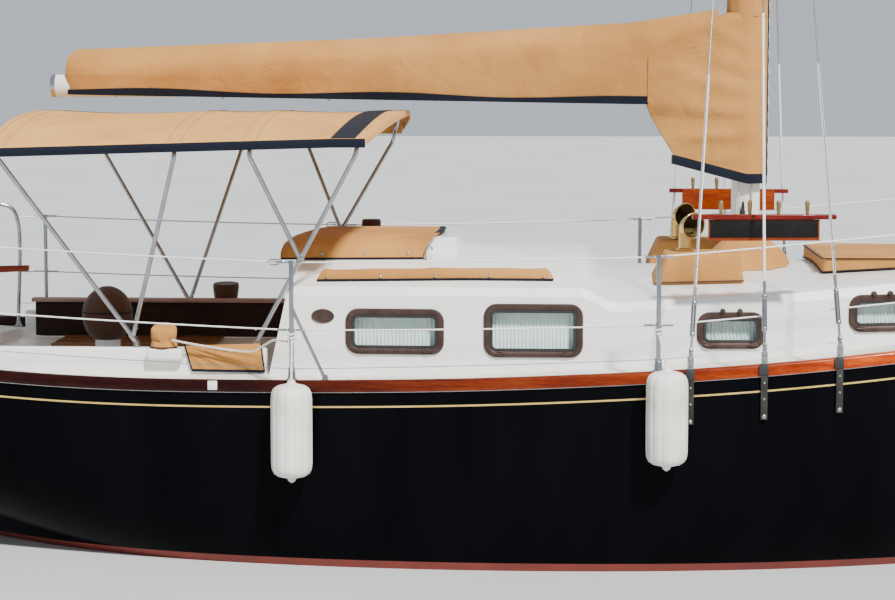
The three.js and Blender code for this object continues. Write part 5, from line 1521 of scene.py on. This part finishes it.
for side, word in SIDES:
    ends = []
    for x in LOWERS:
        foot, head = shroud_foot(x, side), lower_head(side)
        ends.append(foot.lerp(head, (1.865 - foot.z) / (head.z - foot.z)))
    along = (ends[1] - ends[0]).normalized()
    inboard = Vector((0, 0, 1)).cross(along) * -side
    centre = (ends[0] + ends[1]) / 2
    turn = Matrix((along, inboard, (0, 0, 1))).transposed().to_4x4()
    turn.translation = centre
    node = f"{word}_pin_rail"
    board = (-0.292, 0.0525, -0.118), (0.288, 0.0635, 0.012)
    if side < 0:
        board = (-0.292, 0.0095, -0.124), (0.288, 0.0235, -0.014)
    members = [
        ("pin_bar", (-0.374, -0.002, -0.0125), (0.374, 0.0515, 0.0125), 0.0045, RED_VARNISH),
        ("pin_web", (-0.26, 0.008, -0.05), (0.26, 0.026, -0.012), 0, RED_VARNISH),
        ("board", *board, 0.003, ORANGE_VARNISH),
        ("board_field", (-0.283, 0.0075, -0.108), (0.279, 0.0100, -0.018), 0.001, BLACK_FIELD),
    ]
    for label, low, high, edge, material in members if side < 0 else members[:3]:
        member = turn_outward(moved(block(low, high, edge), turn))
        slot = None if material == BLACK_FIELD else "varnished_teak"
        fit(member, f"{word}_{label}", material, slot=slot, node=node)
    places = [turn @ Vector((step, 0.030, 0)) for step in (-0.225, -0.075, 0.075, 0.225)]
    pins = [moved(turned(PIN_PROFILE, sides=14), Matrix.Translation(place)) for place in places]
    fit(joined(pins), f"{word}_pins", PIN_BRONZE, slot="bronze", node=node, angle=50)

# Bowsprit.
# A varnished round spar heeled against a block on the foredeck and chocked over the stem.
# A steel ring near its tip takes the forestay, the bobstay below and the two side stays.
SPRIT_START, SPRIT_END = Vector((3.08, 0, 1.52)), Vector((6.0, 0, 1.80))
sprit_length = (SPRIT_END - SPRIT_START).length
sprit_profile = [
    (0, 0),
    (0.050, 0.0),
    (0.0545, 0.012),
    (0.0545, sprit_length * 0.6),
    (0.0525, sprit_length * 0.85),
    (0.0500, sprit_length - 0.02),
    (0.042, sprit_length - 0.004),
    (0, sprit_length),
]
sprit = spun(sprit_profile, SPRIT_START, SPRIT_END, 28)
fit(sprit, "bowsprit_spar", ORANGE_VARNISH, slot="varnished_teak", node="bowsprit", angle=40)


def deck_at(x):
    """Height of the deck on the centre line."""
    return deck_edge(x) + half_beam(x) * 0.045


heel = block((3.022, -0.088, deck_at(3.08) - 0.02), (3.148, 0.088, 1.608), 0.010)
chock = block((4.092, -0.0415, rail_top(4.16) - 0.09), (4.228, 0.0415, 1.622), 0.008)
fit(joined([heel, chock]), "bowsprit_blocks", RED_VARNISH, slot="varnished_teak", node="bowsprit")
STAY_RING = [
    (0.0525, -0.024),
    (0.066, -0.024),
    (0.069, -0.020),
    (0.069, 0.020),
    (0.066, 0.024),
    (0.0525, 0.024),
    (0.0525, -0.024),
]
TIP_BAND = [(0.0500, -0.010), (0.0550, -0.010), (0.0550, 0.010), (0.0500, 0.010), (0.0500, -0.010)]
RING_X = 5.9
ring_at = SPRIT_START.lerp(SPRIT_END, (RING_X - SPRIT_START.x) / (SPRIT_END.x - SPRIT_START.x))
tip_at = SPRIT_START.lerp(SPRIT_END, 0.985)
bands = [spun(STAY_RING, ring_at, SPRIT_END, 32), spun(TIP_BAND, tip_at, SPRIT_END, 28)]
fit(joined(bands), "bowsprit_bands", STEEL, slot="stainless", node="bowsprit")
wires = [tube([Vector((4.266, 0, 0.33)), Vector((RING_X, 0, ring_at.z - 0.066))], 0.0068, 10)]
plates = [block((4.236, -0.012, 0.27), (4.292, 0.012, 0.39), 0.005)]
for side in (-1, 1):
    stay_foot = Vector((3.50, side * (half_beam(3.5) + 0.020), deck_edge(3.48) - 0.04))
    stay_head = Vector((RING_X, side * 0.060, ring_at.z))
    wires.append(tube([stay_foot, stay_head], 0.0055, 8))
    wires.append(tube([stay_foot, stay_foot.lerp(stay_head, 0.09)], 0.0105, 10))
    inner, outer, z = side * (half_beam(3.48) + 0.0125), side * (half_beam(3.48) + 0.022), stay_foot.z
    plates.append(block((3.445, inner, z - 0.06), (3.515, outer, z + 0.018), 0.004))
fit(joined(wires), "bowsprit_wires", WIRE, slot="stainless", node="bowsprit_stays")
fit(joined(plates), "bowsprit_stay_plates", STEEL, slot="stainless", node="bowsprit_stays")

# Boomkin.
# Two steel tubes run aft from feet on the quarters and meet at a tip rod that takes the backstay.
parts = [tube([(-3.92, side * 0.52, 1.24), (-5.19, side * 0.016, 1.25)], 0.0295, 20) for side in (-1, 1)]
for side in (-1, 1):
    parts.append(block((-3.925, side * 0.482, deck_at(-3.88) - 0.03), (-3.835, side * 0.558, 1.262), 0.008))
parts.append(tapered((-5.238, 0, 1.25), (-5.142, 0, 1.25), 0.0415, 0.0415, 24))
fit(joined(parts), "boomkin_tubes", STEEL, slot="stainless", node="boomkin")


# Bow and stern rails.
# Bent stainless tube of one size: each rail is a single bow bent from foot to foot, with welded legs.
def end_rail(name, node, half, foot_x, foot_y, leg_foot, leg_head, sink):
    """A rail from its starboard half, with one leg a side and a round base under each of its four feet."""
    starboard = [Vector((x, -y, z)) for x, y, z in half]
    port = [Vector(point) for point in reversed(half) if point[1]]
    parts = [tube(eased([*starboard, *port], 8), 0.0127, 14)]
    for side in (-1, 1):
        low = (leg_foot[0], side * leg_foot[1], deck_edge(leg_foot[0]) - sink)
        parts.append(tube([low, (leg_head[0], side * leg_head[1], leg_head[2])], 0.0122, 12))
        for x, y in (leg_foot, (foot_x, foot_y)):
            parts.append(turned(RAIL_FOOT, (x, side * y, deck_edge(x) + 0.01), 20))
    fit(joined(parts), name, STEEL, slot="stainless", node=node)


RAIL_FOOT = [(0, -0.006), (0.030, -0.006), (0.030, 0.004), (0.021, 0.009), (0.017, 0.030), (0, 0.031)]
bow_y, stern_y = half_beam(3.05) - 0.07, half_beam(-3.56) - 0.08
bow_half = [(3.05, bow_y, deck_edge(3.05) - 0.02), (3.062, 0.905, 1.98), (3.11, 0.88, 2.04)]
bow_half += [(3.5, 0.69, 2.11), (3.93, 0.38, 2.17), (4.09, 0, 2.18)]
stern_half = [(-3.56, stern_y, deck_edge(-3.56) - 0.02), (-3.562, 1.095, 1.70), (-3.62, 1.088, 1.77)]
stern_half += [(-4.08, 0.95, 1.77), (-4.19, 0.78, 1.77)]
end_rail("bow_rail", "pulpit", bow_half, 3.05, bow_y, (3.7, half_beam(3.7) - 0.07), (3.93, 0.38, 2.17), 0.01)
end_rail("stern_rail", "pushpit", stern_half, -3.56, stern_y, (-4.08, 0.885), (-4.08, 0.95, 1.77), 0.0)

# Cockpit coamings.
# White moulded upstands along both sides, flared into a pad under each winch.
# A padded backrest stands inside the port one, under a faded pinkish capping; its near-black brown cloth is
# painted shade from the canopy overhead.
for side, word in SIDES:
    wall = block((-3.48, side * 0.925, 1.025), (-1.706, side * 0.985, 1.12), 0.012)
    pad = block((-2.352, side * 0.905, 1.060), (-2.160, side * 1.045, 1.1195), 0.012)
    foot = block((-3.478, side * 0.9275, 0.92), (-1.708, side * 0.9825, 1.05))
    moulding = joined([wall, foot, pad])
    fit(moulding, f"{word}_coaming_moulding", WHITE_GELCOAT, slot="white_gelcoat", node=f"{word}_coaming")

# Near-black brown: painted shade of the canopy on the inside of the port coaming.
BACKREST_PAINTED_SHADE = sewn_canvas("backrest_cloth_painted_shade", [(0.018, 0.009, 0.006), (0.035, 0.017, 0.011)], 0.45)
FADED_CAP = finish(
    "faded_capping",
    [(0.33, 0.20, 0.17), (0.42, 0.27, 0.23)],
    (0.45, 0.65),
    scale=6,
    stretch=(1, 6, 6),
    relief=0.2,
)
REST_AFT, REST_FORE = -3.40, -1.722
rings = []
for x in spread(REST_AFT, REST_FORE, 0.056):
    end = min(1.0, (x - REST_AFT) / 0.05, (REST_FORE - x) / 0.05) ** 0.5 if REST_AFT < x < REST_FORE else 0.0
    ring = []
    for step in range(32):
        cosine, sine = math.cos(step * math.pi / 16), math.sin(step * math.pi / 16)
        across, up = math.copysign(abs(cosine) ** 0.35, cosine), math.copysign(abs(sine) ** 0.22, sine)
        y = 0.8975 + (0.0215 + 0.004 * end) * across
        y += 0.0025 * end * noise.noise(Vector((x * 6, up * 2, across)))
        ring.append((x, y, 1.0730 + (0.107 + 0.002 * end) * up + 0.002 * math.sin(x * 9) * (up > 0)))
    rings.append(ring)
backrest = skin("backrest", rings, capped=True)
# The backrest's dark cloth is painted shade of the canopy over the port coaming.
fit(backrest, "port_backrest", BACKREST_PAINTED_SHADE, slot="brown_canvas", angle=60)
CAPPING = [
    (0.858, 1.182),
    (0.932, 1.182),
    (0.936, 1.190),
    (0.936, 1.199),
    (0.930, 1.206),
    (0.860, 1.206),
    (0.854, 1.199),
    (0.854, 1.190),
]
capping = [[(x, y, z) for y, z in CAPPING] for x in spread(-3.42, REST_FORE, 0.2)]
capping = skin("capping", capping, capped=True)
fit(capping, "port_backrest_cap", FADED_CAP, slot="varnished_teak", angle=40)

# Winches.
# Two-speed drums under gathered canvas hoods: light tan to starboard; slumped to port, where the hood's dark
# brown is painted shade under the canopy.
# A smaller one stands on the port side of the roof.
HOOD = [
    # share of the height, share of the radius
    (0.0, 1.0),
    (0.08, 1.02),
    (0.16, 0.98),
    (0.28, 0.98),
    (0.36, 0.985),
    (0.44, 0.98),
    (0.52, 0.98),
    (0.60, 0.975),
    (0.75, 0.97),
    (0.88, 0.965),
    (0.96, 0.94),
    (1.0, 0.90),
    (1.0, 0.82),
    (0.985, 0.5),
    (0.975, 0.0),
]


def winch_hood(foot, radius, height, name, material, rest, node=None, tip=0.0, waist=0.0, flare=0.0):
    """A gathered canvas drum: soft pleats round the side, a sagging tilted top, perhaps a drawn-in waist."""
    rings = []
    for share, reach in HOOD:
        ring = []
        for step in range(60):
            angle = step * math.pi / 30
            cosine, sine = math.cos(angle), math.sin(angle)
            pleat = 1 + 0.018 * math.sin(angle * 11 + share * 4) * (1 - share * 0.6)
            pleat += 0.03 * noise.noise(Vector((cosine * 2, sine * 2, share * 3)))
            pinch = math.exp(-(((share - 0.44) / 0.10) ** 2)) * (1 + 0.6 * math.sin(angle * 5 + share * 12))
            pleat += flare * max(0.0, share - 0.3) - waist * pinch
            out, lift = radius * reach * pleat, tip * share * sine * reach
            ring.append((foot[0] + out * cosine, foot[1] + out * sine, foot[2] + height * share + lift))
        rings.append(ring)
    flat = (2 * math.pi * radius, (height + radius) * 1.15)
    cloth(skin("hood", rings), name, material, flat, "gathered", [rest], node=node)
    piping = oval((foot[0], foot[1], foot[2] + 0.006), radius * 1.02, radius * 1.02, 32)
    fit(tube(piping, 0.0032, 6, closed=True), f"{name}_piping", NAVY_CANVAS)


winch_hood(
    (-2.268, -0.975, 1.1203),
    0.072,
    0.108,
    "starboard_winch_hood",
    TAN_CANVAS,
    "starboard_coaming",
    node="starboard_winch",
    tip=0.024,
    waist=0.10,
)
# The port hood's dark brown cloth is painted shade under the canopy.
winch_hood(
    (-2.212, 0.975, 1.1203),
    0.074,
    0.174,
    "port_winch_hood",
    BROWN_CANVAS_AND_PAINTED_SHADE,
    "port_coaming",
    node="port_winch",
    tip=0.006,
    waist=0.06,
    flare=0.22,
)
roof_at = roof_height(-1.27, 0.68)
foot, tall = (-1.27, 0.68, roof_at + 0.001), 1.717 - roof_at
winch_hood(foot, 0.060, tall, "roof_winch_hood", BROWN_CANVAS_AND_PAINTED_SHADE, "cabin_trunk")

# Lee cloth on the near coaming.
# A tan panel with dark tape down its two ends hangs wrinkled outside the coaming, just forward of the winch;
# the dark band along its foot is painted shadow.
# Its creases fan out from the winch: each has a depth, a place in the fan and a width.
CREASES = [(0.016, 0.70, 0.075), (0.009, 0.40, 0.06), (0.009, 1.06, 0.07), (0.006, 1.32, 0.05)]
rings = []
for u in spread(0, 1, 0.025):
    start = -2.150 + 0.417 * u
    column = [(start, -0.955, 1.1235), (start, -0.975, 1.129 + 0.012 * u)]
    for v in spread(0, 1, 0.05):
        fan, far = math.atan2(v + 0.04, u + 0.04), min(1.0, math.hypot(u, v) / 1.25)
        creases = sum(deep * math.exp(-(((fan - place) / width) ** 2)) for deep, place, width in CREASES)
        y = -0.990 - 0.008 * math.sin(math.pi * v * 0.8) - creases * math.sin(math.pi * far)
        column.append((start + (0.040 - 0.022 * u) * v, y, 1.133 + 0.014 * u + (-0.138 - 0.018 * u) * v))
    rings.append(column)
panel = skin("panel", rings, looped=False)
cloth(panel, "coaming_cloth", TAN_CANVAS, (0.43, 0.23), "hung", ["starboard_coaming"])
# The dark band along the panel's foot is painted shadow.
hem = [Vector(column[-1]) + Vector((0, 0, 0.004)) for column in rings]
edging("coaming_cloth_hem", hem, 0.014, NAVY_CANVAS)
for column, label in ((rings[0], "aft"), (rings[-1], "fore")):
    tape = tube([Vector(point) - Vector((0, 0.001, 0)) for point in column[2:]], 0.0042, 6)
    fit(tape, f"coaming_cloth_{label}_tape", NAVY_CANVAS)

# Line from the near winch.
# White three-strand rope is led taut from the hooded winch to the gate stanchion and made fast there.
WHITE_ROPE = finish(
    "white_rope", [(0.62, 0.61, 0.57), (0.84, 0.83, 0.79)], (0.6, 0.8), scale=40, relief=0.4, relief_scale=300
)


def laid_rope(points, radius, pitch=0.045):
    """Three strands twisted along a route."""
    steps = []
    for start, end in zip(points, points[1:]):
        count = max(1, round((end - start).length / (pitch / 7)))
        steps += [start.lerp(end, index / count) for index in range(count)]
    steps.append(points[-1])
    strands = []
    for strand in range(3):
        line, turned_by = [], strand * 2 * math.pi / 3
        for index, point in enumerate(steps):
            ahead = (steps[min(len(steps) - 1, index + 1)] - steps[max(0, index - 1)]).normalized()
            across = ahead.cross(Vector((0, 0, 1))).normalized()
            up = across.cross(ahead)
            line.append(point + (across * math.cos(turned_by) + up * math.sin(turned_by)) * radius * 0.5)
            turned_by += 2 * math.pi / 7
        strands.append(tube(line, radius * 0.56, 6))
    return joined(strands)


WINCH_LINE = [
    (-2.215, -1.030, 1.168),
    (-2.12, -1.046, 1.152),
    (-1.78, -1.075, 1.112),
    (-1.70, -1.17, 1.155),
    (-1.62, -1.33, 1.205),
    (-1.532, -1.462, 1.213),
]
fit(laid_rope(eased(WINCH_LINE, 5), 0.0062), "winch_line", WHITE_ROPE, angle=60)

# Locker lids.
# Teak-faced seat lids over the side lockers, hinged outboard, with a finger ring near the inner edge.
TEAK = varnished("worn_teak", [(0.17, 0.07, 0.028), (0.26, 0.115, 0.045), (0.32, 0.15, 0.06)])
PULL = [(0.010, 0.0), (0.022, 0.0), (0.022, 0.0022), (0.019, 0.003), (0.010, 0.0010), (0.010, 0.0)]
for side, word in SIDES:
    lid = block((-3.195, side * 0.375, 0.9605), (-2.205, side * 0.845, 0.978), 0.005)
    seams = [side * (0.375 + 0.0588 * row) for row in range(1, 8)]
    cut_out(lid, *[block((-3.185, y - 0.0014, 0.9750), (-2.215, y + 0.0014, 0.99)) for y in seams])
    fit(lid, f"{word}_seat_lid", TEAK, body=f"{word}_lid", slot="varnished_teak", node=f"{word}_locker_lid")
    pull = turned(PULL, (-2.70, side * 0.435, 0.9775), 24)
    fit(pull, f"{word}_seat_lid_pull", STEEL, body=f"{word}_lid")

# Binnacle.
# A white column bolted to the sole carries the compass, under a cloth dome piped round its middle; the dome's
# dark brown is painted shade under the canopy.
STAND = [
    (0, 0.0003),
    (0.120, 0.0003),
    (0.120, 0.012),
    (0.112, 0.022),
    (0.086, 0.034),
    (0.0755, 0.055),
    (0.0745, 0.60),
    (0.0745, 0.76),
    (0, 0.765),
]
BINNACLE_X = -2.77
stand = turned(STAND, (BINNACLE_X, 0, 0.43), 40)
fit(stand, "binnacle_column", WHITE_GELCOAT, slot="white_gelcoat", node="binnacle")
rings = []
for share in spread(0.19, 1, 0.07):
    polar = math.pi * share
    ring = []
    for step in range(48):
        angle = step * math.pi / 24
        seam = 1 - 0.012 * math.exp(-((math.sin(angle * 3) / 0.12) ** 2)) * math.sin(polar)
        uneven = 1 + 0.02 * noise.noise(Vector((math.cos(angle), math.sin(angle), share * 4)))
        radius = 0.148 * math.sin(polar) * seam * uneven
        z = 1.195 - 0.170 * math.cos(polar)
        ring.append((BINNACLE_X + radius * math.cos(angle), radius * math.sin(angle), z))
    rings.append(ring)
dome = skin("dome", rings)
# The dome's dark brown cloth is painted shade of the canopy over it.
cloth(dome, "compass_hood", BROWN_CANVAS_AND_PAINTED_SHADE, (0.94, 0.46), "gathered", ["binnacle_column"], node="binnacle")
piping = oval((BINNACLE_X, 0, 1.215), 0.1495, 0.1495, 40)
fit(tube(piping, 0.0035, 6, closed=True), "compass_hood_piping", NAVY_CANVAS)

# Bimini frame.
# Two pairs of bows of polished tube spring from sockets on the coamings and open out like a fan.
# Each bow is bent in one length; small slides join the branches to the main legs.
TOP_HALF = 1.38
CORNER_Y, CORNER_Z = 1.338, 2.17


def canopy_height(y, x=-1.3):
    """The canopy's camber, a little deeper towards its aft end."""
    return 2.395 - (0.125 + 0.030 * max(0.0, -1.3 - x)) * (abs(y) / TOP_HALF) ** 2.4


def bow(foot, top_x):
    """A bow from foot to foot: straight up its leg, round the corner and across under the canopy."""
    head = Vector((top_x, CORNER_Y, CORNER_Z))
    half = [foot, foot.lerp(head, 0.5), foot.lerp(head, 0.96), head]
    for y, drop in ((1.316, 0.036), (1.248, 0.019), (0.82, 0.018), (0.40, 0.018), (0.0, 0.018)):
        height = canopy_height(y, top_x) - drop
        half.append(Vector((top_x + (0.56 * max(0.0, height - 2.21) if top_x > -1.5 else 0.0), y, height)))
    starboard = [Vector((point.x, -point.y, point.z)) for point in half]
    return tube(eased([*starboard, *reversed(half[:-1])], 8), 0.0125, 14)


SLIDE = [
    (0.0128, -0.022),
    (0.0165, -0.022),
    (0.0175, -0.018),
    (0.0175, 0.018),
    (0.0165, 0.022),
    (0.0128, 0.022),
    (0.0128, -0.022),
]
SOCKET = [
    (0, -0.027),
    (0.022, -0.0265),
    (0.022, -0.020),
    (0.017, -0.014),
    (0.016, 0.004),
    (0.010, 0.010),
    (0, 0.011),
]
for label, foot_x, main_top, branch_top, start in (
    ("fore", -1.765, -1.19, -1.74, 0.46),
    ("aft", -2.42, -3.08, -2.14, 0.03),
):
    foot = Vector((foot_x, 0.955, 1.1463))
    main = foot.lerp(Vector((main_top, CORNER_Y, CORNER_Z)), start)
    parts = [bow(foot, main_top), bow(main, branch_top)]
    for side in (-1, 1):
        flip = Vector((1, side, 1))
        hinge, upward = main * flip, Vector((main_top, CORNER_Y, CORNER_Z)) * flip - foot * flip
        parts.append(spun(SLIDE, hinge, hinge + upward, 20))
        parts.append(turned(SOCKET, foot * flip, 20))
        eye = Vector((foot.x, side * 0.955, 1.22))
        parts.append(tube([eye + Vector((0, -0.019, 0)), eye + Vector((0, 0.019, 0))], 0.0045, 8))
    fit(joined(parts), f"bimini_{label}_tubes", STEEL, slot="stainless", node=f"bimini_{label}_bows")

# Bimini canopy.
# One stretched sheet of tan canvas over the bows, with a deep navy valance along each side.
# Pockets over the end bows, a navy band across the front and stitched seams show as raised lines.
CANOPY_AFT, CANOPY_FORE = -3.148, -1.130
TOP_FLAT = 1.366
HEM_SHARE = 0.90
BOW_GAPS = ((-3.08, -2.14), (-2.14, -1.74), (-1.74, -1.19))
CANOPY_CLOTH = sewn_canvas(
    "canopy_cloth", [(0.56, 0.272, 0.068), (0.64, 0.325, 0.088), (0.68, 0.360, 0.104)], 0.35, 0.05
)


def canopy_point(x, share):
    """Share runs from the starboard hem (-1) to the port hem (1), with the valances hung at the ends."""
    side, reach = math.copysign(1, share), abs(share)
    if reach < HEM_SHARE:
        y = side * TOP_FLAT * reach / HEM_SHARE
        belly = 0.0
        for low, high in BOW_GAPS:
            if low < x < high:
                belly = 0.012 * (high - low) / 0.6 * math.sin(math.pi * (x - low) / (high - low))
        lift = canopy_height(y, x) - 0.003 - belly * math.cos(min(1.0, abs(y) / 1.3) * math.pi / 2)
        lean = 0.118 * max(0.0, (x + 1.74) / 0.61) ** 1.5 * (1 - (abs(y) / TOP_FLAT) ** 2.4)
        return x + lean, y, lift + 0.002 * noise.noise(Vector((x * 3, y * 3, 5)))
    drop = (reach - HEM_SHARE) / (1 - HEM_SHARE)
    wave = 0.0045 * math.sin(x * 11 + side) * drop
    y = side * (TOP_FLAT + 0.0085 * math.sin(min(1.0, drop * 2.2) * math.pi / 2) - 0.004 * drop + wave * 0.6)
    z = canopy_height(TOP_FLAT, x) - 0.003 - 0.042 * drop
    return x, y, z - 0.004 * (1 - math.cos(min(1.0, drop * 3) * math.pi / 2))


rings = [
    [canopy_point(x, share) for share in spread(-1, 1, 0.02)] for x in spread(CANOPY_AFT, CANOPY_FORE, 0.045)
]
canopy, bows = skin("canopy", rings, looped=False), ["bimini_fore_bows", "bimini_aft_bows"]
fitting = {"thick": 0.002, "node": "bimini_canopy", "angle": 50}
cloth(canopy, "bimini_cloth", CANOPY_CLOTH, (2.05, 3.00), "stretched", bows, **fitting)
for side, word in SIDES:
    strips = []
    for x in spread(CANOPY_AFT, CANOPY_FORE, 0.09):
        strip = [canopy_point(x, side * share) for share in (0.903, 0.912, 0.935, 0.96, 1.0)]
        strip = [(a, y + side * 0.0014, z) for a, y, z in strip]
        strips.append([*strip[:-1], (*strip[-1][:2], strip[-1][2] - 0.002)])
    valance = work(skin("valance", strips, looped=False), "SOLIDIFY", thickness=0.0012, offset=0)
    fit(valance, f"{word}_canopy_valance", NAVY_CANVAS, angle=60)
across = spread(-0.899, 0.899, 0.0285)
bands = []
for run in (0.0, 0.03, 0.35, 0.65, 0.97, 1.0):
    rise = 0.0006 if run in (0.0, 1.0) else 0.0022
    row = [canopy_point(-1.313 + (0.106 + 0.028 * share**2) * run, share) for share in across]
    bands.append([(a, y, z + rise) for a, y, z in row])
front_band = work(skin("front_band", bands, looped=False), "SOLIDIFY", thickness=0.0012, offset=0)
fit(front_band, "canopy_front_band", NAVY_CANVAS, angle=60)
edge_line = [canopy_point(CANOPY_FORE, share) for share in across]
hem = [
    [(x + ahead, y, z - drop) for x, y, z in edge_line]
    for ahead, drop in ((0.0005, 0.0), (0.003, 0.015), (0.0015, 0.034))
]
front_flap, flat = skin("front_flap", hem, looped=False), (2.90, 0.036)
fitting = {"thick": 0.0018, "area": flat[0] * flat[1]}
cloth(front_flap, "canopy_front_flap", CANOPY_CLOTH, flat, "hung", ["bimini_cloth"], **fitting)
stitching = []
for x in (-3.115, -3.04, -2.175, -2.105, -1.775, -1.705):
    line = [canopy_point(x, share) for share in spread(-0.89, 0.89, 0.05)]
    stitching.append(tube([(a, y, z + 0.0006) for a, y, z in line], 0.0011, 4))
fit(joined(stitching), "canopy_stitching", BROWN_CANVAS_AND_PAINTED_SHADE)

# Fenders.
# Two ribbed air fenders of off-white vinyl hang outside the rail, each on a thin lanyard.
# Moulded ribs run from end to end; the blunt ends carry a solid eye.
FENDER_VINYL = finish(
    "fender_vinyl",
    [(0.64, 0.61, 0.54), (0.80, 0.78, 0.72), (0.86, 0.85, 0.80)],
    (0.38, 0.6),
    scale=7,
    relief=0.12,
    relief_scale=50,
)
FENDER_END = [
    # radius, height from the top
    (0.002, 0.0),
    (0.019, -0.002),
    (0.021, -0.010),
    (0.026, -0.016),
    (0.045, -0.021),
    (0.075, -0.029),
    (0.094, -0.043),
    (0.1040, -0.064),
    (0.1075, -0.095),
    (0.1078, -0.18),
]
FENDER_LONG, RIB = 0.528, 0.0042
for label, x, top, post_x in (("fore", 0.436, 1.116, 0.395), ("aft", -1.497, 1.030, -1.51)):
    y = -(half_beam(x) + 0.1216)
    lower_end = [(radius, -FENDER_LONG - height) for radius, height in FENDER_END]
    profile = [*lower_end, (0.1080, -FENDER_LONG / 2), *FENDER_END[::-1]]
    rings = []
    for radius, height in profile:
        ring = []
        for step in range(144):
            angle = step * 2 * math.pi / 144
            rib = RIB * clamp((radius - 0.04) / 0.05) * abs(math.cos(angle * 6)) ** 0.35
            reach = radius - RIB + rib if radius > 0.04 else radius
            ring.append((x + reach * math.cos(angle), y + reach * math.sin(angle), top + height))
        rings.append(ring)
    parts = [skin("fender", rings, capped=True)]
    for eye_z in (top - 0.010 + 0.006, top - 0.010 - 0.512):
        eye = [(x + 0.010 * math.cos(a), y, eye_z + 0.010 * math.sin(a)) for a in around(16)]
        parts.append(tube(eye, 0.0045, 8, closed=True))
    body, node = joined(parts), f"{label}_fender"
    fit(body, f"{label}_fender_body", FENDER_VINYL, slot="fender_vinyl", node=node, angle=50)
    post = post_foot(post_x, -1)
    hitch = Vector((post.x, post.y, sheer(post_x) + 0.185))
    start, end = Vector((x, y, top - 0.006)), hitch + Vector((0.004, -0.019, 0))
    route = eased([start, start.lerp(end, 0.5) + Vector((0, -0.006, -0.004)), end], 6)
    for a in spread(-math.pi / 2, 4.5 * math.pi, math.pi / 6):
        route.append(hitch + Vector((0.018 * math.cos(a), 0.018 * math.sin(a), 0.010 * a / math.pi - 0.006)))
    fit(tube(route, 0.0055, 8), f"{label}_fender_lanyard", WHITE_ROPE, node=node)

# Rudder and tiller.
# A black blade, red below the water, hangs on three pins down the stern; straps and sockets interlock.
# The varnished tiller is bolted over the head of the blade.
BLADE_FRONT = -0.0205
BLADE = [
    # reach aft of the stern line, its height on that line, height
    (0, 1.39, 1.388),
    (0, 0.9, 0.9),
    (0, 0, 0),
    (0, -1.42, -1.418),
    (-0.415, -1.42, -1.40),
    (-0.59, -1, -1.0),
    (-0.575, -0.55, -0.55),
    (-0.515, -0.2, -0.2),
    (-0.41, 0.05, 0.05),
    (-0.30, 0.25, 0.25),
    (-0.262, 0.7, 0.7),
    (-0.215, 1.39, 1.388),
]
PIN_HEIGHTS = (0.82, -0.30, -1.25)
blade = plate([(stern_x(level, BLADE_FRONT) + reach, z) for reach, level, z in BLADE], -0.0215, 0.0215, 0.007)
for z in PIN_HEIGHTS:
    notch = [
        (stern_x(z + lift) + reach, z + lift)
        for lift, reach in ((-0.042, 0.05), (-0.042, -0.056), (0.042, -0.056), (0.042, 0.05))
    ]
    cut_out(blade, plate(notch, -0.05, 0.05))
paint_split(blade)
fit(blade, "rudder_blade", BLACK_GLOSS, body="steering", slot="hull_gloss", node="rudder")
blade.data.materials.append(BOTTOM_PAINT)
for face in blade.data.polygons:
    if face.center.z < BOOT_TOP:
        face.material_index = 1
STERN_AXIS = Vector((-STERN_RAKE, 0, 1)).normalized()
DARK_BRONZE = finish(
    "dark_bronze",
    [(0.10, 0.055, 0.028), (0.20, 0.12, 0.06)],
    (0.35, 0.55),
    metallic=0.85,
    scale=14,
    relief=0.15,
)
LOWER_STRAP = [(-0.12, -0.002), (0.004, 0.0), (0.004, 0.018), (-0.12, 0.022)]
UPPER_STRAP = [(-0.12, 0.028), (0.004, -0.004), (0.004, 0.016), (-0.12, 0.046)]
SLEEVE = [
    (0.0105, -0.0295),
    (0.020, -0.0295),
    (0.0215, -0.027),
    (0.0215, 0.027),
    (0.020, 0.0295),
    (0.0105, 0.0295),
    (0.0105, -0.0295),
]
ARM = [(-0.019, -0.020), (0.10, -0.026), (0.10, 0.018), (-0.019, 0.022)]
pins, sockets = [], []
for z in PIN_HEIGHTS:
    axis_at = Vector((stern_x(z, -0.020), 0, z))
    pins.append(tube([axis_at - STERN_AXIS * 0.052, axis_at + STERN_AXIS * 0.052], 0.0098, 16))
    for low, strap in ((-0.062, LOWER_STRAP), (0.044, UPPER_STRAP)):
        root = axis_at + STERN_AXIS * low
        pins.append(plate([(root.x + along, root.z + up) for along, up in strap], -0.0235, 0.0235, 0.002))
    sockets.append(spun(SLEEVE, axis_at, axis_at + STERN_AXIS, 24))
    for side in (-1, 1):
        low, high = sorted((side * 0.014, side * 0.0215))
        sockets.append(plate([(stern_x(z, along), z + up) for along, up in ARM], low, high))
fit(joined(pins), "rudder_pins", DARK_BRONZE, body="steering", slot="bronze", node="rudder")
fit(joined(sockets), "stern_sockets", DARK_BRONZE, slot="bronze", node="hull_aft")
HEAD_X = stern_x(1.39)
TILLER = [
    (HEAD_X - 0.186, 1.3905),
    (-3.9, 1.4145),
    (-3.232, 1.4510),
    (-3.232, 1.4846),
    (-3.7, 1.4725),
    (-4.25, 1.4555),
    (HEAD_X - 0.186, 1.4500),
]
tiller = plate(TILLER, -0.0232, 0.0232, 0.008)
fit(tiller, "tiller_bar", ORANGE_VARNISH, body="steering", slot="varnished_teak", node="tiller")
bolts = [tube([(HEAD_X - 0.06, -0.0265, 1.421), (HEAD_X - 0.06, 0.0265, 1.421)], 0.0065, 10)]
bolts.append(tube([(HEAD_X - 0.14, -0.0265, 1.421), (HEAD_X - 0.14, 0.0265, 1.421)], 0.0065, 10))
fit(joined(bolts), "tiller_bolts", STEEL, body="steering")

# Machinery and ballast.
# The engine under the cockpit sole, the painted ballast and the screw keep the frame's own solids.
ENGINE_GREEN = finish(
    "engine_paint", [(0.03, 0.07, 0.05), (0.06, 0.12, 0.09)], (0.35, 0.6), scale=8, relief=0.2
)
dress("engine", ENGINE_GREEN)
dress("ballast_keel", BOTTOM_PAINT)
dress("propeller", PIN_BRONZE)
